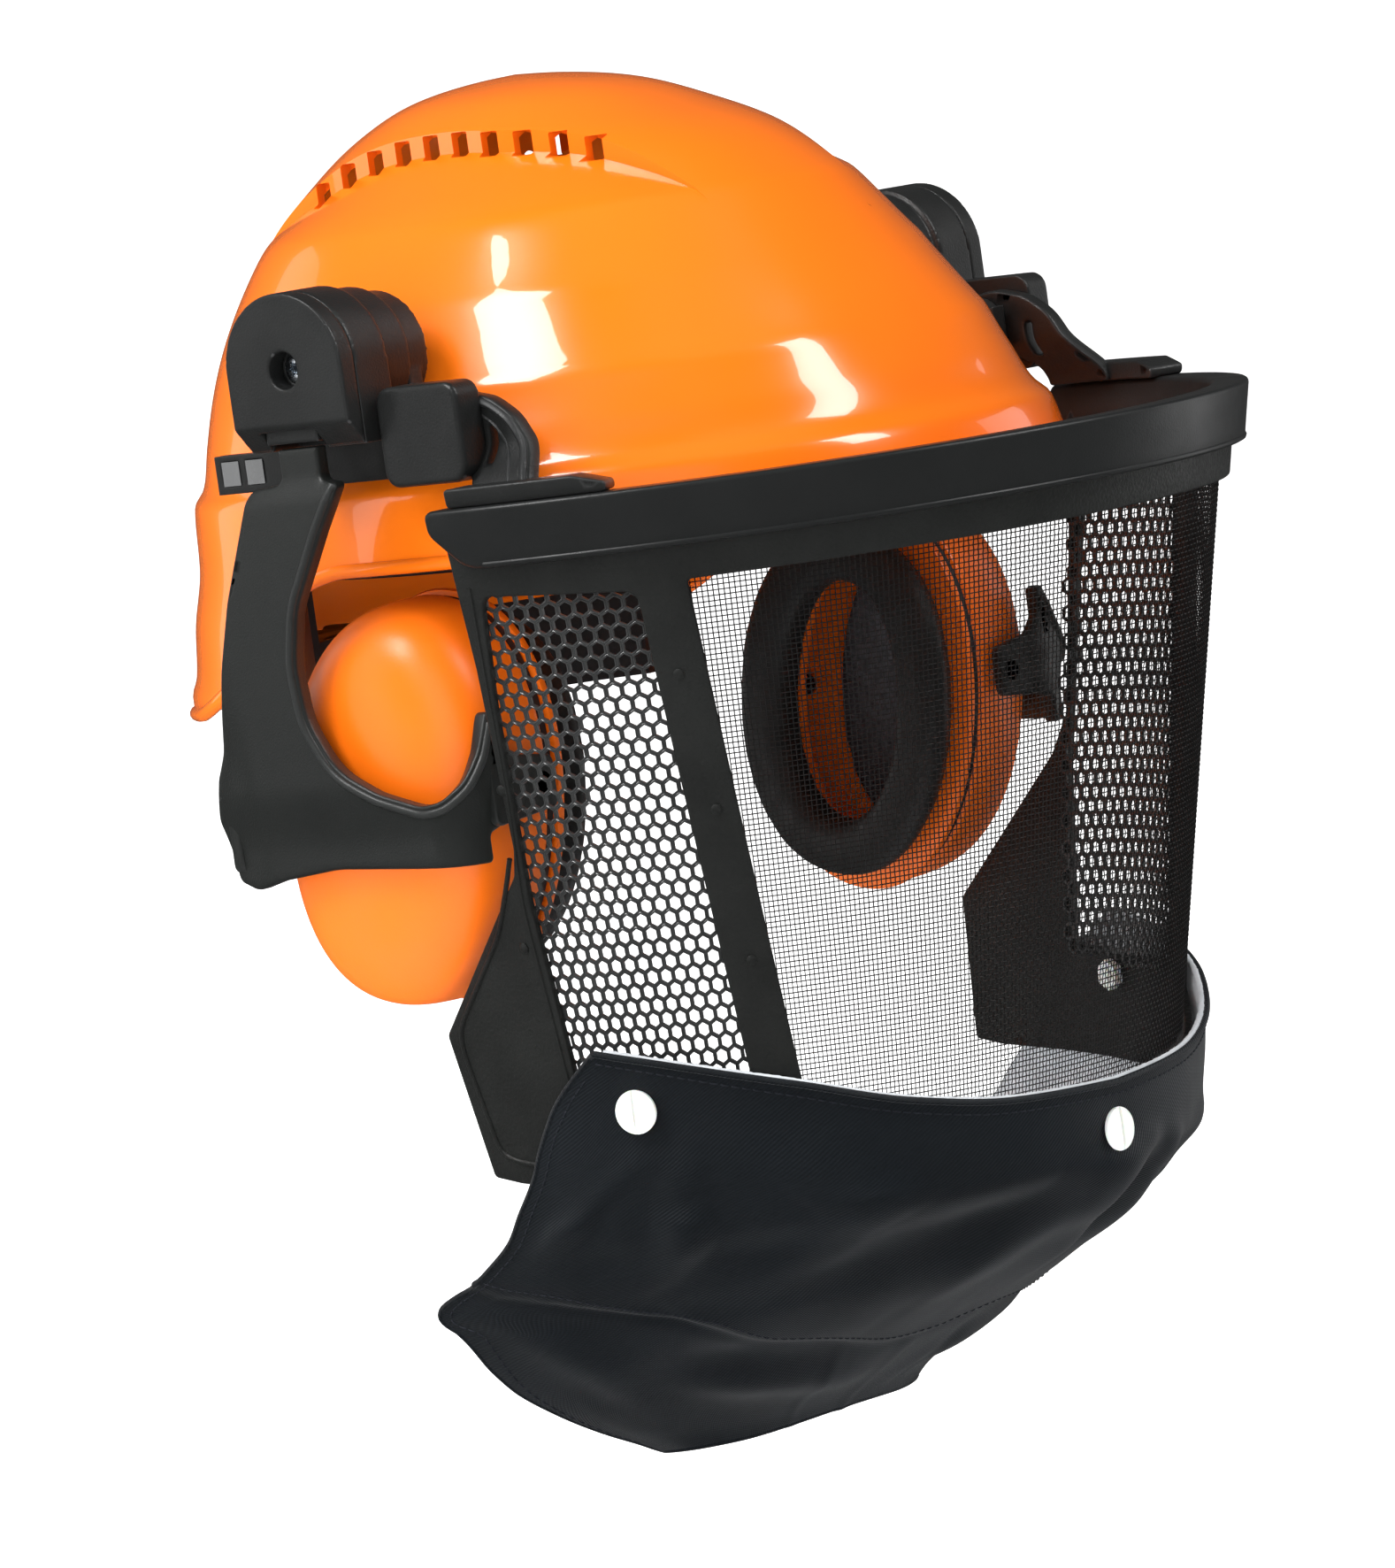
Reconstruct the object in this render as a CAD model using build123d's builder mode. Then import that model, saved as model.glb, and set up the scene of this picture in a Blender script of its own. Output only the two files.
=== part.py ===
from build123d import *
import os
from math import sin, cos, radians, sqrt

os.makedirs("parts", exist_ok=True)

# Forestry helmet: shell with cradle, flip-up mesh visor with chin flap, and two
# swing-out ear muffs.  Millimetres, +Z up, front towards -Y, the wearer's right
# side towards -X.  The origin is the centre of the wearer's head at ear-rim level.

# ---------------------------------------------------------------- dimensions
SHELL_T = 2.6            # shell wall
SHELL_N = 2.25           # superellipse exponent of the shell's plan sections
VENTS = 10               # vent windows on each side of the crown band
VENT_PITCH = 10.2
RIM_Z = 14.0             # lower edge of the shell at the sides

VISOR_A = 135.0          # visor half width at VISOR_Z0
VISOR_B = 135.0          # visor reach ahead of VISOR_YC at VISOR_Z0
VISOR_YC = -32.0
VISOR_Z0 = 15.0
TAPER_A = 0.17           # loss of half width per mm of drop
TAPER_B = 0.222          # loss of reach per mm of drop
FRAME_T = 2.4
MESH_T = 0.8
GRILLE_T = 1.2
PIVOT_Y, PIVOT_Z = -35.0, 50.0     # visor tilt axis
PIVOT_R = 3.0
RUN = 0.06               # radial running clearance of pins

DRUM_Y, DRUM_Z, DRUM_R = 2.5, 71.5, 20.5
HINGE_X, HINGE_Z, HINGE_R = 126.7, 56.0, 1.5
ARM_Y0, ARM_Y1 = -1.5, 12.5        # neck of the muff arm
CUP_Y, CUP_Z, CUP_TILT = 7.0, -49.0, 12.0
CUP_PIN_X, CUP_PIN_Z, CUP_PIN_R = 102.0, -46.0, 3.0

# z, front y, rear y, half width of the outside of the shell
SHELL = [
    (-28, -117, 139.5, 110.0), (-19, -117, 139.5, 110.0), (-14, -117, 137.5, 109.0),
    (0, -117, 135.5, 108.0), (15, -117, 131.5, 106.5), (33, -113, 130.0, 105.3),
    (38, -108.3, 127.0, 101.8), (50, -101.8, 124.8, 98.0), (62, -94.5, 122.1, 93.7),
    (72, -87.9, 118.9, 89.3), (82, -80.2, 114.4, 84.2), (92, -72.4, 108.6, 78.3),
    (100, -65.6, 103.0, 72.9), (108, -57.6, 95.6, 66.3), (115, -49.4, 87.9, 59.4),
    (121, -39.8, 81.5, 52.4), (126, -28.4, 75.2, 44.8), (130, -19.5, 68.6, 38.0),
    (134, -8.8, 60.7, 30.1), (137, 4.5, 50.0, 18.5), (139, 21.2, 34.1, 5.5),
]


def shell_row(z):
    rows = SHELL
    if z <= rows[0][0]:
        return rows[0][1:]
    for p, q in zip(rows, rows[1:]):
        if z <= q[0]:
            t = (z - p[0]) / (q[0] - p[0])
            return tuple(p[i] + t * (q[i] - p[i]) for i in (1, 2, 3))
    return rows[-1][1:]


def sgn_pow(v, e):
    return (abs(v) ** e) * (1 if v >= 0 else -1)


def oval(yf, yr, ax, off=0.0, n=SHELL_N, count=32):
    cy, b = (yf + yr) / 2, (yr - yf) / 2 + off
    a = ax + off
    pts = []
    for i in range(count):
        t = radians(360 * (i + 0.5) / count)
        pts.append((a * sgn_pow(cos(t), 2 / n), cy + b * sgn_pow(sin(t), 2 / n)))
    return pts


def crown_drop(z):
    # the shoulders beside the crown band lie lower than the band itself
    t = min(1, max(0, (z - 98) / 26))
    return 6.0 * t * t * (3 - 2 * t)


def dome_z(x, y):
    lo, hi = 40.0, 139.0
    for _ in range(40):
        mid = (lo + hi) / 2
        yf, yr, ax = shell_row(mid)
        cy, b = (yf + yr) / 2, (yr - yf) / 2
        inside = (abs(x) / ax) ** SHELL_N + (abs(y - cy) / b) ** SHELL_N < 1
        lo, hi = (mid, hi) if inside else (lo, mid)
    return lo


def visor_a(z):
    return VISOR_A - TAPER_A * (VISOR_Z0 - z)


def visor_b(z):
    return VISOR_B - TAPER_B * (VISOR_Z0 - z)


def arc_pts(a, b, yc, n=2.0, count=25):
    pts = []
    for i in range(count):
        t = radians(-90 + 180 * i / (count - 1))
        pts.append((a * sgn_pow(sin(t), 2 / n), yc - b * sgn_pow(cos(t), 2 / n)))
    return pts


# ---------------------------------------------------------------- shell
with BuildPart() as dome_outer:
    for z, yf, yr, ax in SHELL:
        with BuildSketch(Plane.XY.offset(z - crown_drop(z))):
            with BuildLine():
                Spline(*oval(yf, yr, ax), periodic=True)
            make_face()
    loft(ruled=True)

with BuildPart() as dome_inner:
    for z, yf, yr, ax in SHELL[:-1]:
        low = -29.0 if z == -28 else z - crown_drop(z) - (1.5 if z > 60 else 0.6)
        with BuildSketch(Plane.XY.offset(low)):
            with BuildLine():
                Spline(*oval(yf, yr, ax, -SHELL_T), periodic=True)
            make_face()
    loft(ruled=True)

BAND = [(30, -70), (36, -25), (43, 0), (45, 65), (38, 98), (30, 104)]
with BuildPart() as band_outer:
    for z, yf, yr, ax in SHELL[10:]:
        with BuildSketch(Plane.XY.offset(z)):
            with BuildLine():
                Spline(*oval(yf, yr, ax), periodic=True)
            make_face()
    loft(ruled=True)
    with BuildSketch(Plane.XY.offset(80)):
        Polygon(*BAND, *[(-x, y) for x, y in reversed(BAND)], align=None)
    extrude(amount=70, mode=Mode.INTERSECT)

with BuildPart() as band_inner:
    for z, yf, yr, ax in SHELL[9:-1]:
        with BuildSketch(Plane.XY.offset(z - 2.0)):
            with BuildLine():
                Spline(*oval(yf, yr, ax, -SHELL_T), periodic=True)
            make_face()
    loft(ruled=True)
    inset = [(x - SHELL_T, y + (2 if y < 0 else -2)) for x, y in BAND]
    with BuildSketch(Plane.XY.offset(60)):
        Polygon(*inset, *[(-x, y) for x, y in reversed(inset)], align=None)
    extrude(amount=90, mode=Mode.INTERSECT)

with BuildPart() as peak:
    with BuildSketch(Plane.XY.offset(RIM_Z)):
        with BuildLine():
            Spline(*oval(-150, 128, 104, 0, 2.1), periodic=True)
        make_face()
        with BuildLine():
            Spline(*oval(-115, 129, 104, 0, 2.25), periodic=True)
        make_face(mode=Mode.SUBTRACT)
        with Locations((0, 100)):
            Rectangle(400, 250, mode=Mode.SUBTRACT)
    extrude(amount=3.2)

with BuildPart() as shell:
    add(dome_outer.part)
    add(band_outer.part)
    add(peak.part)
    add(dome_inner.part, mode=Mode.SUBTRACT)
    add(band_inner.part, mode=Mode.SUBTRACT)
    # rim line: level at the sides and front, dropping to the neck shield
    with BuildSketch(Plane.YZ):
        Polygon((-160, RIM_Z), (26, RIM_Z), (42, 8), (60, -6), (80, -18), (100, -24),
                (150, -25.5), (150, -60), (-160, -60), align=None)
    extrude(amount=130, both=True, mode=Mode.SUBTRACT)
    # vent windows in the step of the crown band
    for side in (-1, 1):
        for i in range(VENTS):
            y = 64.0 - VENT_PITCH * i
            x = 45.0 if y > 40 else 43.0 + (y / 40 * 2 if y > 0 else y / 25 * 7)
            with Locations((side * (x - 1), y, dome_z(x, y) - 4.2)):
                Box(9, 5.6, 5.0, mode=Mode.SUBTRACT)
    # accessory slots in the sides
    for side in (-1, 1):
        with Locations((side * 100, 4, 44)):
            Box(14, 26.4, 6.4, mode=Mode.SUBTRACT)
shell.part.label = "shell"
export_step(shell.part, "parts/shell.step")

# ---------------------------------------------------------------- head cradle
HB_A, HB_YF, HB_YR = 82.0, -95.0, 101.0     # inside of the headband
with BuildPart() as headband:
    with BuildSketch(Plane.XY.offset(10)):
        with BuildLine():
            Spline(*oval(HB_YF, HB_YR, HB_A, 2.0), periodic=True)
        make_face()
        with BuildLine():
            Spline(*oval(HB_YF, HB_YR, HB_A), periodic=True)
        make_face(mode=Mode.SUBTRACT)
    extrude(amount=27)
headband.part.label = "headband"
export_step(headband.part, "parts/headband.step")

with BuildPart() as sweatband:
    with BuildSketch(Plane.XY.offset(8)):
        with BuildLine():
            Spline(*oval(HB_YF, HB_YR, HB_A, -0.1), periodic=True)
        make_face()
        with BuildLine():
            Spline(*oval(HB_YF, HB_YR, HB_A, -4.1), periodic=True)
        make_face(mode=Mode.SUBTRACT)
        with Locations((0, 75)):
            Rectangle(240, 200, mode=Mode.SUBTRACT)
    extrude(amount=31)
sweatband.part.label = "sweatband"
export_step(sweatband.part, "parts/sweatband.step")

with BuildPart() as nape_strap:
    with BuildSketch(Plane.XY.offset(-36)):
        with BuildLine():
            Spline(*oval(HB_YF, HB_YR, HB_A, 4.3), periodic=True)
        make_face()
        with BuildLine():
            Spline(*oval(HB_YF, HB_YR, HB_A, 2.1), periodic=True)
        make_face(mode=Mode.SUBTRACT)
        with Locations((0, -37)):
            Rectangle(240, 210, mode=Mode.SUBTRACT)
    extrude(amount=56)
    with BuildSketch(Plane.XZ.offset(-150)):
        Polygon((-54, 21), (-54, -10), (54, -10), (54, 21), align=None)
        Polygon((-90, -37), (-90, -2), (-74, -37), align=None)
        Polygon((90, -37), (90, -2), (74, -37), align=None)
    extrude(amount=150, mode=Mode.SUBTRACT)
nape_strap.part.label = "nape_strap"
export_step(nape_strap.part, "parts/nape_strap.step")

KNOB_Z = -23.0
with BuildPart() as ratchet_housing:
    with BuildSketch(Plane.XZ.offset(-105.5)):
        with Locations((0, KNOB_Z)):
            RectangleRounded(62, 27, 10)
    extrude(amount=-11)
    with BuildSketch(Plane.XZ.offset(-90)):
        with Locations((0, KNOB_Z)):
            Circle(4.0 + RUN)
    extrude(amount=-40, mode=Mode.SUBTRACT)
    with BuildSketch(Plane.XY.offset(-50)):
        with BuildLine():
            Spline(*oval(HB_YF, HB_YR, HB_A, 4.3), periodic=True)
        make_face()
    extrude(amount=60, mode=Mode.SUBTRACT)
ratchet_housing.part.label = "ratchet_housing"
export_step(ratchet_housing.part, "parts/ratchet_housing.step")

with BuildPart() as ratchet_knob:
    with BuildSketch(Plane.XZ.offset(-116.8)):
        with Locations((0, KNOB_Z)):
            Circle(14.5)
            with PolarLocations(15.6, 14):
                Circle(1.9, mode=Mode.SUBTRACT)
    extrude(amount=-10.5)
    fillet(ratchet_knob.faces().sort_by(Axis.Y)[-1].edges(), 0.8)
    with BuildSketch(Plane.XZ.offset(-107.5)):
        with Locations((0, KNOB_Z)):
            Circle(4.0)
    extrude(amount=-9.4)
ratchet_knob.part.label = "ratchet_knob"
export_step(ratchet_knob.part, "parts/ratchet_knob.step")

# crown straps: three webbings that cross in a stack over the crown
STRAPS = [("crown_strap_front_left", 58.0, 100.0), ("crown_strap_side", 0.0, 101.8),
          ("crown_strap_front_right", -58.0, 103.6)]
STRAP_W, STRAP_T, STRAP_Z = 18.0, 1.2, 37.3


def strap_reach(angle):
    # distance from the cradle's centre to the outside of the headband
    ux, uy = cos(radians(angle)), sin(radians(angle))
    a, b = HB_A + 4.6, (HB_YR - HB_YF) / 2 + 4.6
    return 1 / ((abs(ux) / a) ** SHELL_N + (abs(uy) / b) ** SHELL_N) ** (1 / SHELL_N)


with BuildPart() as crown_strap_side:
    reach, top = strap_reach(0), 101.8
    with BuildSketch(Plane(origin=(0, 3, STRAP_Z), x_dir=(1, 0, 0), z_dir=(0, -1, 0))):
        Ellipse(reach, top - STRAP_Z)
        Ellipse(reach - STRAP_T, top - STRAP_Z - STRAP_T, mode=Mode.SUBTRACT)
        with Locations((0, -100)):
            Rectangle(400, 200, mode=Mode.SUBTRACT)
    extrude(amount=STRAP_W / 2, both=True)
crown_strap_side.part.label = "crown_strap_side"
export_step(crown_strap_side.part, "parts/crown_strap_side.step")

with BuildPart() as crown_strap_front_left:
    reach, top = strap_reach(58), 100.0
    with BuildSketch(Plane(origin=(0, 3, STRAP_Z), x_dir=(cos(radians(58)), sin(radians(58)), 0),
                           z_dir=(sin(radians(58)), -cos(radians(58)), 0))):
        Ellipse(reach, top - STRAP_Z)
        Ellipse(reach - STRAP_T, top - STRAP_Z - STRAP_T, mode=Mode.SUBTRACT)
        with Locations((0, -100)):
            Rectangle(400, 200, mode=Mode.SUBTRACT)
    extrude(amount=STRAP_W / 2, both=True)
crown_strap_front_left.part.label = "crown_strap_front_left"
export_step(crown_strap_front_left.part, "parts/crown_strap_front_left.step")

with BuildPart() as crown_strap_front_right:
    reach, top = strap_reach(-58), 103.6
    with BuildSketch(Plane(origin=(0, 3, STRAP_Z), x_dir=(cos(radians(-58)), sin(radians(-58)), 0),
                           z_dir=(sin(radians(-58)), -cos(radians(-58)), 0))):
        Ellipse(reach, top - STRAP_Z)
        Ellipse(reach - STRAP_T, top - STRAP_Z - STRAP_T, mode=Mode.SUBTRACT)
        with Locations((0, -100)):
            Rectangle(400, 200, mode=Mode.SUBTRACT)
    extrude(amount=STRAP_W / 2, both=True)
crown_strap_front_right.part.label = "crown_strap_front_right"
export_step(crown_strap_front_right.part, "parts/crown_strap_front_right.step")

# six moulded hangers that carry the straps' ends in sockets on the shell
with BuildPart() as cradle_hangers:
    for angle in (0, 58, 122, 180, 238, 302):
        reach = strap_reach(angle)
        ux, uy = cos(radians(angle)), sin(radians(angle))
        with BuildSketch(Plane(origin=(ux * (reach + 0.15), 3 + uy * (reach + 0.15), 34),
                               x_dir=(-uy, ux, 0), z_dir=(ux, uy, 0))):
            RectangleRounded(21, 20, 3)
        extrude(amount=3.6)
cradle_hangers.part.label = "cradle_hangers"
export_step(cradle_hangers.part, "parts/cradle_hangers.step")

# ---------------------------------------------------------------- carriers
with BuildPart() as carrier_right:
    with BuildSketch(Plane.YZ.offset(-111)):
        Polygon((-30, 38.5), (57, 38.5), (57, 49), (38, 49), (20, 62), (-15, 62), (-24, 50),
                (-44, 56), (-44, 42), align=None)
        with Locations((PIVOT_Y, PIVOT_Z)):
            Circle(9)
    extrude(amount=5.2)
    with BuildSketch(Plane.YZ.offset(-112)):
        with Locations((DRUM_Y, DRUM_Z)):
            Circle(19.8)
    extrude(amount=4, mode=Mode.SUBTRACT)
    with BuildSketch(Plane.YZ.offset(-108)):
        with Locations((DRUM_Y, DRUM_Z)):
            Circle(17)
    extrude(amount=9)
    with BuildSketch(Plane.YZ.offset(-108)):
        Polygon((-15, 52), (20, 52), (19, 70), (-14, 70), align=None)
    extrude(amount=6)
    with Locations((-100.5, 4, 44)):
        Box(13, 26, 6)
    with Locations((-114.7, -21, 50)):
        Box(7.4, 4, 22)
    with BuildSketch(Plane.YZ.offset(-120)):
        with Locations((DRUM_Y, DRUM_Z)):
            Circle(2.5)
        with Locations((PIVOT_Y, PIVOT_Z)):
            Circle(PIVOT_R)
    extrude(amount=40, mode=Mode.SUBTRACT)
    # window seats in the rear tab
    with Locations((-110.5, 42.6, 44), (-110.5, 51.4, 44)):
        Box(1.6, 6.4, 6.8, mode=Mode.SUBTRACT)
carrier_right.part.label = "carrier_right"
export_step(carrier_right.part, "parts/carrier_right.step")
with BuildPart() as carrier_left:
    mirror(carrier_right.part, about=Plane.YZ)
carrier_left.part.label = "carrier_left"
export_step(carrier_left.part, "parts/carrier_left.step")

with BuildPart() as tab_windows:
    for side in (-1, 1):
        with Locations((side * 110.45, 42.6, 44), (side * 110.45, 51.4, 44)):
            Box(1.3, 6.2, 6.6)
tab_windows.part.label = "tab_windows"
export_step(tab_windows.part, "parts/tab_windows.step")

with BuildPart() as visor_clip_right:
    with BuildSketch(Plane.YZ.offset(-128)):
        with Locations((-33.3, 50.3)):
            RectangleRounded(28.6, 26.6, 4.5)
    extrude(amount=9.6)
    chamfer(visor_clip_right.faces().sort_by(Axis.X)[0].edges(), 0.8)
    with BuildSketch(Plane.YZ.offset(-124)):
        with Locations((PIVOT_Y, PIVOT_Z)):
            Circle(PIVOT_R)
    extrude(amount=10, mode=Mode.SUBTRACT)
visor_clip_right.part.label = "visor_clip_right"
export_step(visor_clip_right.part, "parts/visor_clip_right.step")
with BuildPart() as visor_clip_left:
    mirror(visor_clip_right.part, about=Plane.YZ)
visor_clip_left.part.label = "visor_clip_left"
export_step(visor_clip_left.part, "parts/visor_clip_left.step")

with BuildPart() as visor_pivot_pins:
    with BuildSketch(Plane.YZ.offset(-124)):
        with Locations((PIVOT_Y, PIVOT_Z)):
            Circle(PIVOT_R)
    extrude(amount=18)
    with BuildSketch(Plane.YZ.offset(124)):
        with Locations((PIVOT_Y, PIVOT_Z)):
            Circle(PIVOT_R)
    extrude(amount=-18)
visor_pivot_pins.part.label = "visor_pivot_pins"
export_step(visor_pivot_pins.part, "parts/visor_pivot_pins.step")

with BuildPart() as swivel_screws:
    for side in (-1, 1):
        with BuildSketch(Plane.YZ.offset(side * 131.4)):
            with Locations((DRUM_Y, DRUM_Z)):
                Circle(4.2)
        extrude(amount=-side * 3.0)
        with BuildSketch(Plane.YZ.offset(side * 131.4)):
            with Locations((DRUM_Y, DRUM_Z)):
                RegularPolygon(1.9, 6)
        extrude(amount=-side * 1.8, mode=Mode.SUBTRACT)
        with BuildSketch(Plane.YZ.offset(side * 128.4)):
            with Locations((DRUM_Y, DRUM_Z)):
                Circle(2.5)
        extrude(amount=-side * 28)
swivel_screws.part.label = "swivel_screws"
export_step(swivel_screws.part, "parts/swivel_screws.step")

# ---------------------------------------------------------------- visor
with BuildPart() as visor_rail:
    for z in (14.5, 31.0):
        with BuildSketch(Plane.XY.offset(z)):
            with BuildLine():
                outer = Spline(*arc_pts(visor_a(z) + 3.5, visor_b(z) + 3.5, VISOR_YC))
                inner = Spline(*arc_pts(visor_a(z) - 7.0, visor_b(z) - 7.0, VISOR_YC))
                Line(outer @ 0, inner @ 0)
                Line(outer @ 1, inner @ 1)
            make_face()
    loft(ruled=True)
    with Locations((0, 9, 20)):
        Box(400, 100, 60, mode=Mode.SUBTRACT)
with BuildPart() as rail_slot:
    for z in (14.0, 24.2):
        with BuildSketch(Plane.XY.offset(z)):
            with BuildLine():
                outer = Spline(*arc_pts(visor_a(z) + 0.1, visor_b(z) + 0.1, VISOR_YC))
                inner = Spline(*arc_pts(visor_a(z) - 3.8, visor_b(z) - 3.8, VISOR_YC))
                Line(outer @ 0, inner @ 0)
                Line(outer @ 1, inner @ 1)
            make_face()
    loft(ruled=True)
with BuildPart() as visor_rail_final:
    add(visor_rail.part)
    add(rail_slot.part, mode=Mode.SUBTRACT)
visor_rail_final.part.label = "visor_rail"
export_step(visor_rail_final.part, "parts/visor_rail.step")

with BuildPart() as visor_arm_right:
    with BuildSketch(Plane.YZ.offset(-118)):
        with BuildLine():
            Polyline((-27, 41), (-26.5, 58), (-38.8, 60.2), (-49.7, 57.5), (-56.7, 52.5),
                     (-60.3, 45.5), (-65.3, 35.5), (-66, 31.1), (-47.5, 31.1), (-47.5, 38),
                     (-42, 40.5), (-27, 41))
        make_face()
    extrude(amount=5)
    with BuildSketch(Plane.XY.offset(31.1)):
        with BuildLine():
            outer = Spline(*arc_pts(visor_a(31) + 1.5, visor_b(31) + 1.5, VISOR_YC))
            inner = Spline(*arc_pts(visor_a(31) - 9.0, visor_b(31) - 9.0, VISOR_YC))
            Line(outer @ 0, inner @ 0)
            Line(outer @ 1, inner @ 1)
        make_face()
        with Locations((0, 52.5)):
            Rectangle(400, 200, mode=Mode.SUBTRACT)
        with Locations((0, -291)):
            Rectangle(400, 400, mode=Mode.SUBTRACT)
        with Locations((200, -60)):
            Rectangle(400, 200, mode=Mode.SUBTRACT)
        with Locations((-119, -56.5)):
            Rectangle(12, 18)
    extrude(amount=4.9)
    with BuildSketch(Plane.YZ.offset(-125)):
        with Locations((PIVOT_Y, PIVOT_Z)):
            Circle(PIVOT_R + RUN)
    extrude(amount=20, mode=Mode.SUBTRACT)
visor_arm_right.part.label = "visor_arm_right"
export_step(visor_arm_right.part, "parts/visor_arm_right.step")
with BuildPart() as visor_arm_left:
    mirror(visor_arm_right.part, about=Plane.YZ)
visor_arm_left.part.label = "visor_arm_left"
export_step(visor_arm_left.part, "parts/visor_arm_left.step")

VISOR_TOP, VISOR_LOW, VISOR_BACK = 24.0, -174.0, 8.0
SIDE = [(-200, VISOR_TOP), (-43.5, VISOR_TOP), (-46, -23), (-42, -61), (-38.5, -68.5), (-0.5, -111),
        (-4, -151), (-12.6, -153), (-60, -158), (-135, -167.5), (-200, -167.5)]
SIDE_WINDOW = [(-53, 6), (-92, 3), (-86.5, -130), (-41.5, -126), (-44, -76), (-50, -23)]
FRONT_WINDOW = [(-200, 4.8), (-111, 4.8), (-103.5, -1.5), (-96.5, -136), (-112, -146), (-200, -158)]

with BuildPart() as frame_blank:
    for z in (VISOR_TOP, VISOR_LOW):
        with BuildSketch(Plane.XY.offset(z)):
            with BuildLine():
                outer = Spline(*arc_pts(visor_a(z), visor_b(z), VISOR_YC))
                inner = Spline(*arc_pts(visor_a(z) - FRAME_T, visor_b(z) - FRAME_T, VISOR_YC))
                Polyline(outer @ 0, (-visor_a(z), VISOR_BACK), (-visor_a(z) + FRAME_T, VISOR_BACK), inner @ 0)
                Polyline(outer @ 1, (visor_a(z), VISOR_BACK), (visor_a(z) - FRAME_T, VISOR_BACK), inner @ 1)
            make_face()
    loft(ruled=True)

with BuildPart() as visor_frame:
    add(frame_blank.part)
    with BuildSketch(Plane.YZ):
        Polygon(*SIDE, align=None)
    extrude(amount=160, both=True, mode=Mode.INTERSECT)
    with BuildSketch(Plane.YZ):
        Polygon(*SIDE_WINDOW, align=None)
        Polygon(*FRONT_WINDOW, align=None)
    extrude(amount=160, both=True, mode=Mode.SUBTRACT)
visor_frame.part.label = "visor_frame"
export_step(visor_frame.part, "parts/visor_frame.step")

with BuildPart() as front_mesh:
    for z in (13.5, -160.0):
        o, i = FRAME_T + 0.05, FRAME_T + MESH_T
        with BuildSketch(Plane.XY.offset(z)):
            with BuildLine():
                outer = Spline(*arc_pts(visor_a(z) - o, visor_b(z) - o, VISOR_YC))
                inner = Spline(*arc_pts(visor_a(z) - i, visor_b(z) - i, VISOR_YC))
                Line(outer @ 0, inner @ 0)
                Line(outer @ 1, inner @ 1)
            make_face()
    loft(ruled=True)
    with BuildSketch(Plane.YZ):
        Polygon((-200, 13.5), (-109, 13.5), (-100, 4), (-93.5, -139), (-110, -150), (-200, -162), align=None)
    extrude(amount=160, both=True, mode=Mode.INTERSECT)
front_mesh.part.label = "front_mesh"
export_step(front_mesh.part, "parts/front_mesh.step")

with BuildPart() as side_grille_right:
    for z in (10.0, -134.0):
        o, i = FRAME_T + 0.05, FRAME_T + GRILLE_T
        with BuildSketch(Plane.XY.offset(z)):
            with BuildLine():
                outer = Spline(*arc_pts(visor_a(z) - o, visor_b(z) - o, VISOR_YC))
                inner = Spline(*arc_pts(visor_a(z) - i, visor_b(z) - i, VISOR_YC))
                Line(outer @ 0, inner @ 0)
                Line(outer @ 1, inner @ 1)
            make_face()
    loft(ruled=True)
    with BuildSketch(Plane.YZ):
        Polygon((-50.5, 9), (-94.5, 6), (-89.5, -132.5), (-38.5, -129), (-41, -76), (-47.5, -23), align=None)
    extrude(amount=-160, mode=Mode.INTERSECT)
side_grille_right.part.label = "side_grille_right"
export_step(side_grille_right.part, "parts/side_grille_right.step")
with BuildPart() as side_grille_left:
    mirror(side_grille_right.part, about=Plane.YZ)
side_grille_left.part.label = "side_grille_left"
export_step(side_grille_left.part, "parts/side_grille_left.step")

# chin flap: z, half width, y of the ends, y of the front, plan exponent
FLAP = [(-117, 115.8, -32, -140.5, 2.0), (-132, 113.2, -32, -137.2, 2.0), (-148, 110.5, -32, -133.6, 2.05),
        (-163, 108.0, -24, -130.6, 2.1), (-168.5, 106.8, -20, -129.2, 2.1), (-177, 104.0, -8, -118.5, 2.2),
        (-185, 101.5, 6, -109.0, 2.3),
        (-194, 98.0, 26, -98.0, 2.4), (-204, 92.5, 26, -80.0, 2.4), (-213, 85.5, 23, -62.0, 2.3),
        (-222, 76.5, 15, -46.0, 2.2), (-230, 65.5, 7, -33.0, 2.1), (-237, 53.0, -2, -23.0, 2.0)]
FLAP_T = 2.6
with BuildPart() as flap_blank:
    for z, a, ye, yf, n in FLAP:
        with BuildSketch(Plane.XY.offset(z)):
            with BuildLine():
                outer = Spline(*arc_pts(a, ye - yf, ye, n))
                inner = Spline(*arc_pts(a - FLAP_T, ye - yf - FLAP_T, ye, n))
                Polyline(outer @ 0, (-a, ye + 30), (-a + FLAP_T, ye + 30), inner @ 0)
                Polyline(outer @ 1, (a, ye + 30), (a - FLAP_T, ye + 30), inner @ 1)
            make_face()
    loft(ruled=True)
with BuildPart() as chin_flap:
    add(flap_blank.part)
    with BuildSketch(Plane.YZ):
        Polygon((-200, -148), (-131, -148), (-117, -141), (-96, -131), (-69, -122), (-51, -117.5),
                (-33, -133), (-16, -154), (-2, -171), (10, -181), (26, -186), (26, -196), (22, -210),
                (14, -222), (6, -230), (-2, -236), (-2, -240), (-200, -240), align=None)
    extrude(amount=160, both=True, mode=Mode.INTERSECT)
    # the lower edge of the visor sits inside the flap
    add(visor_frame.part, mode=Mode.SUBTRACT)
chin_flap.part.label = "chin_flap"
export_step(chin_flap.part, "parts/chin_flap.step")

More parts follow.
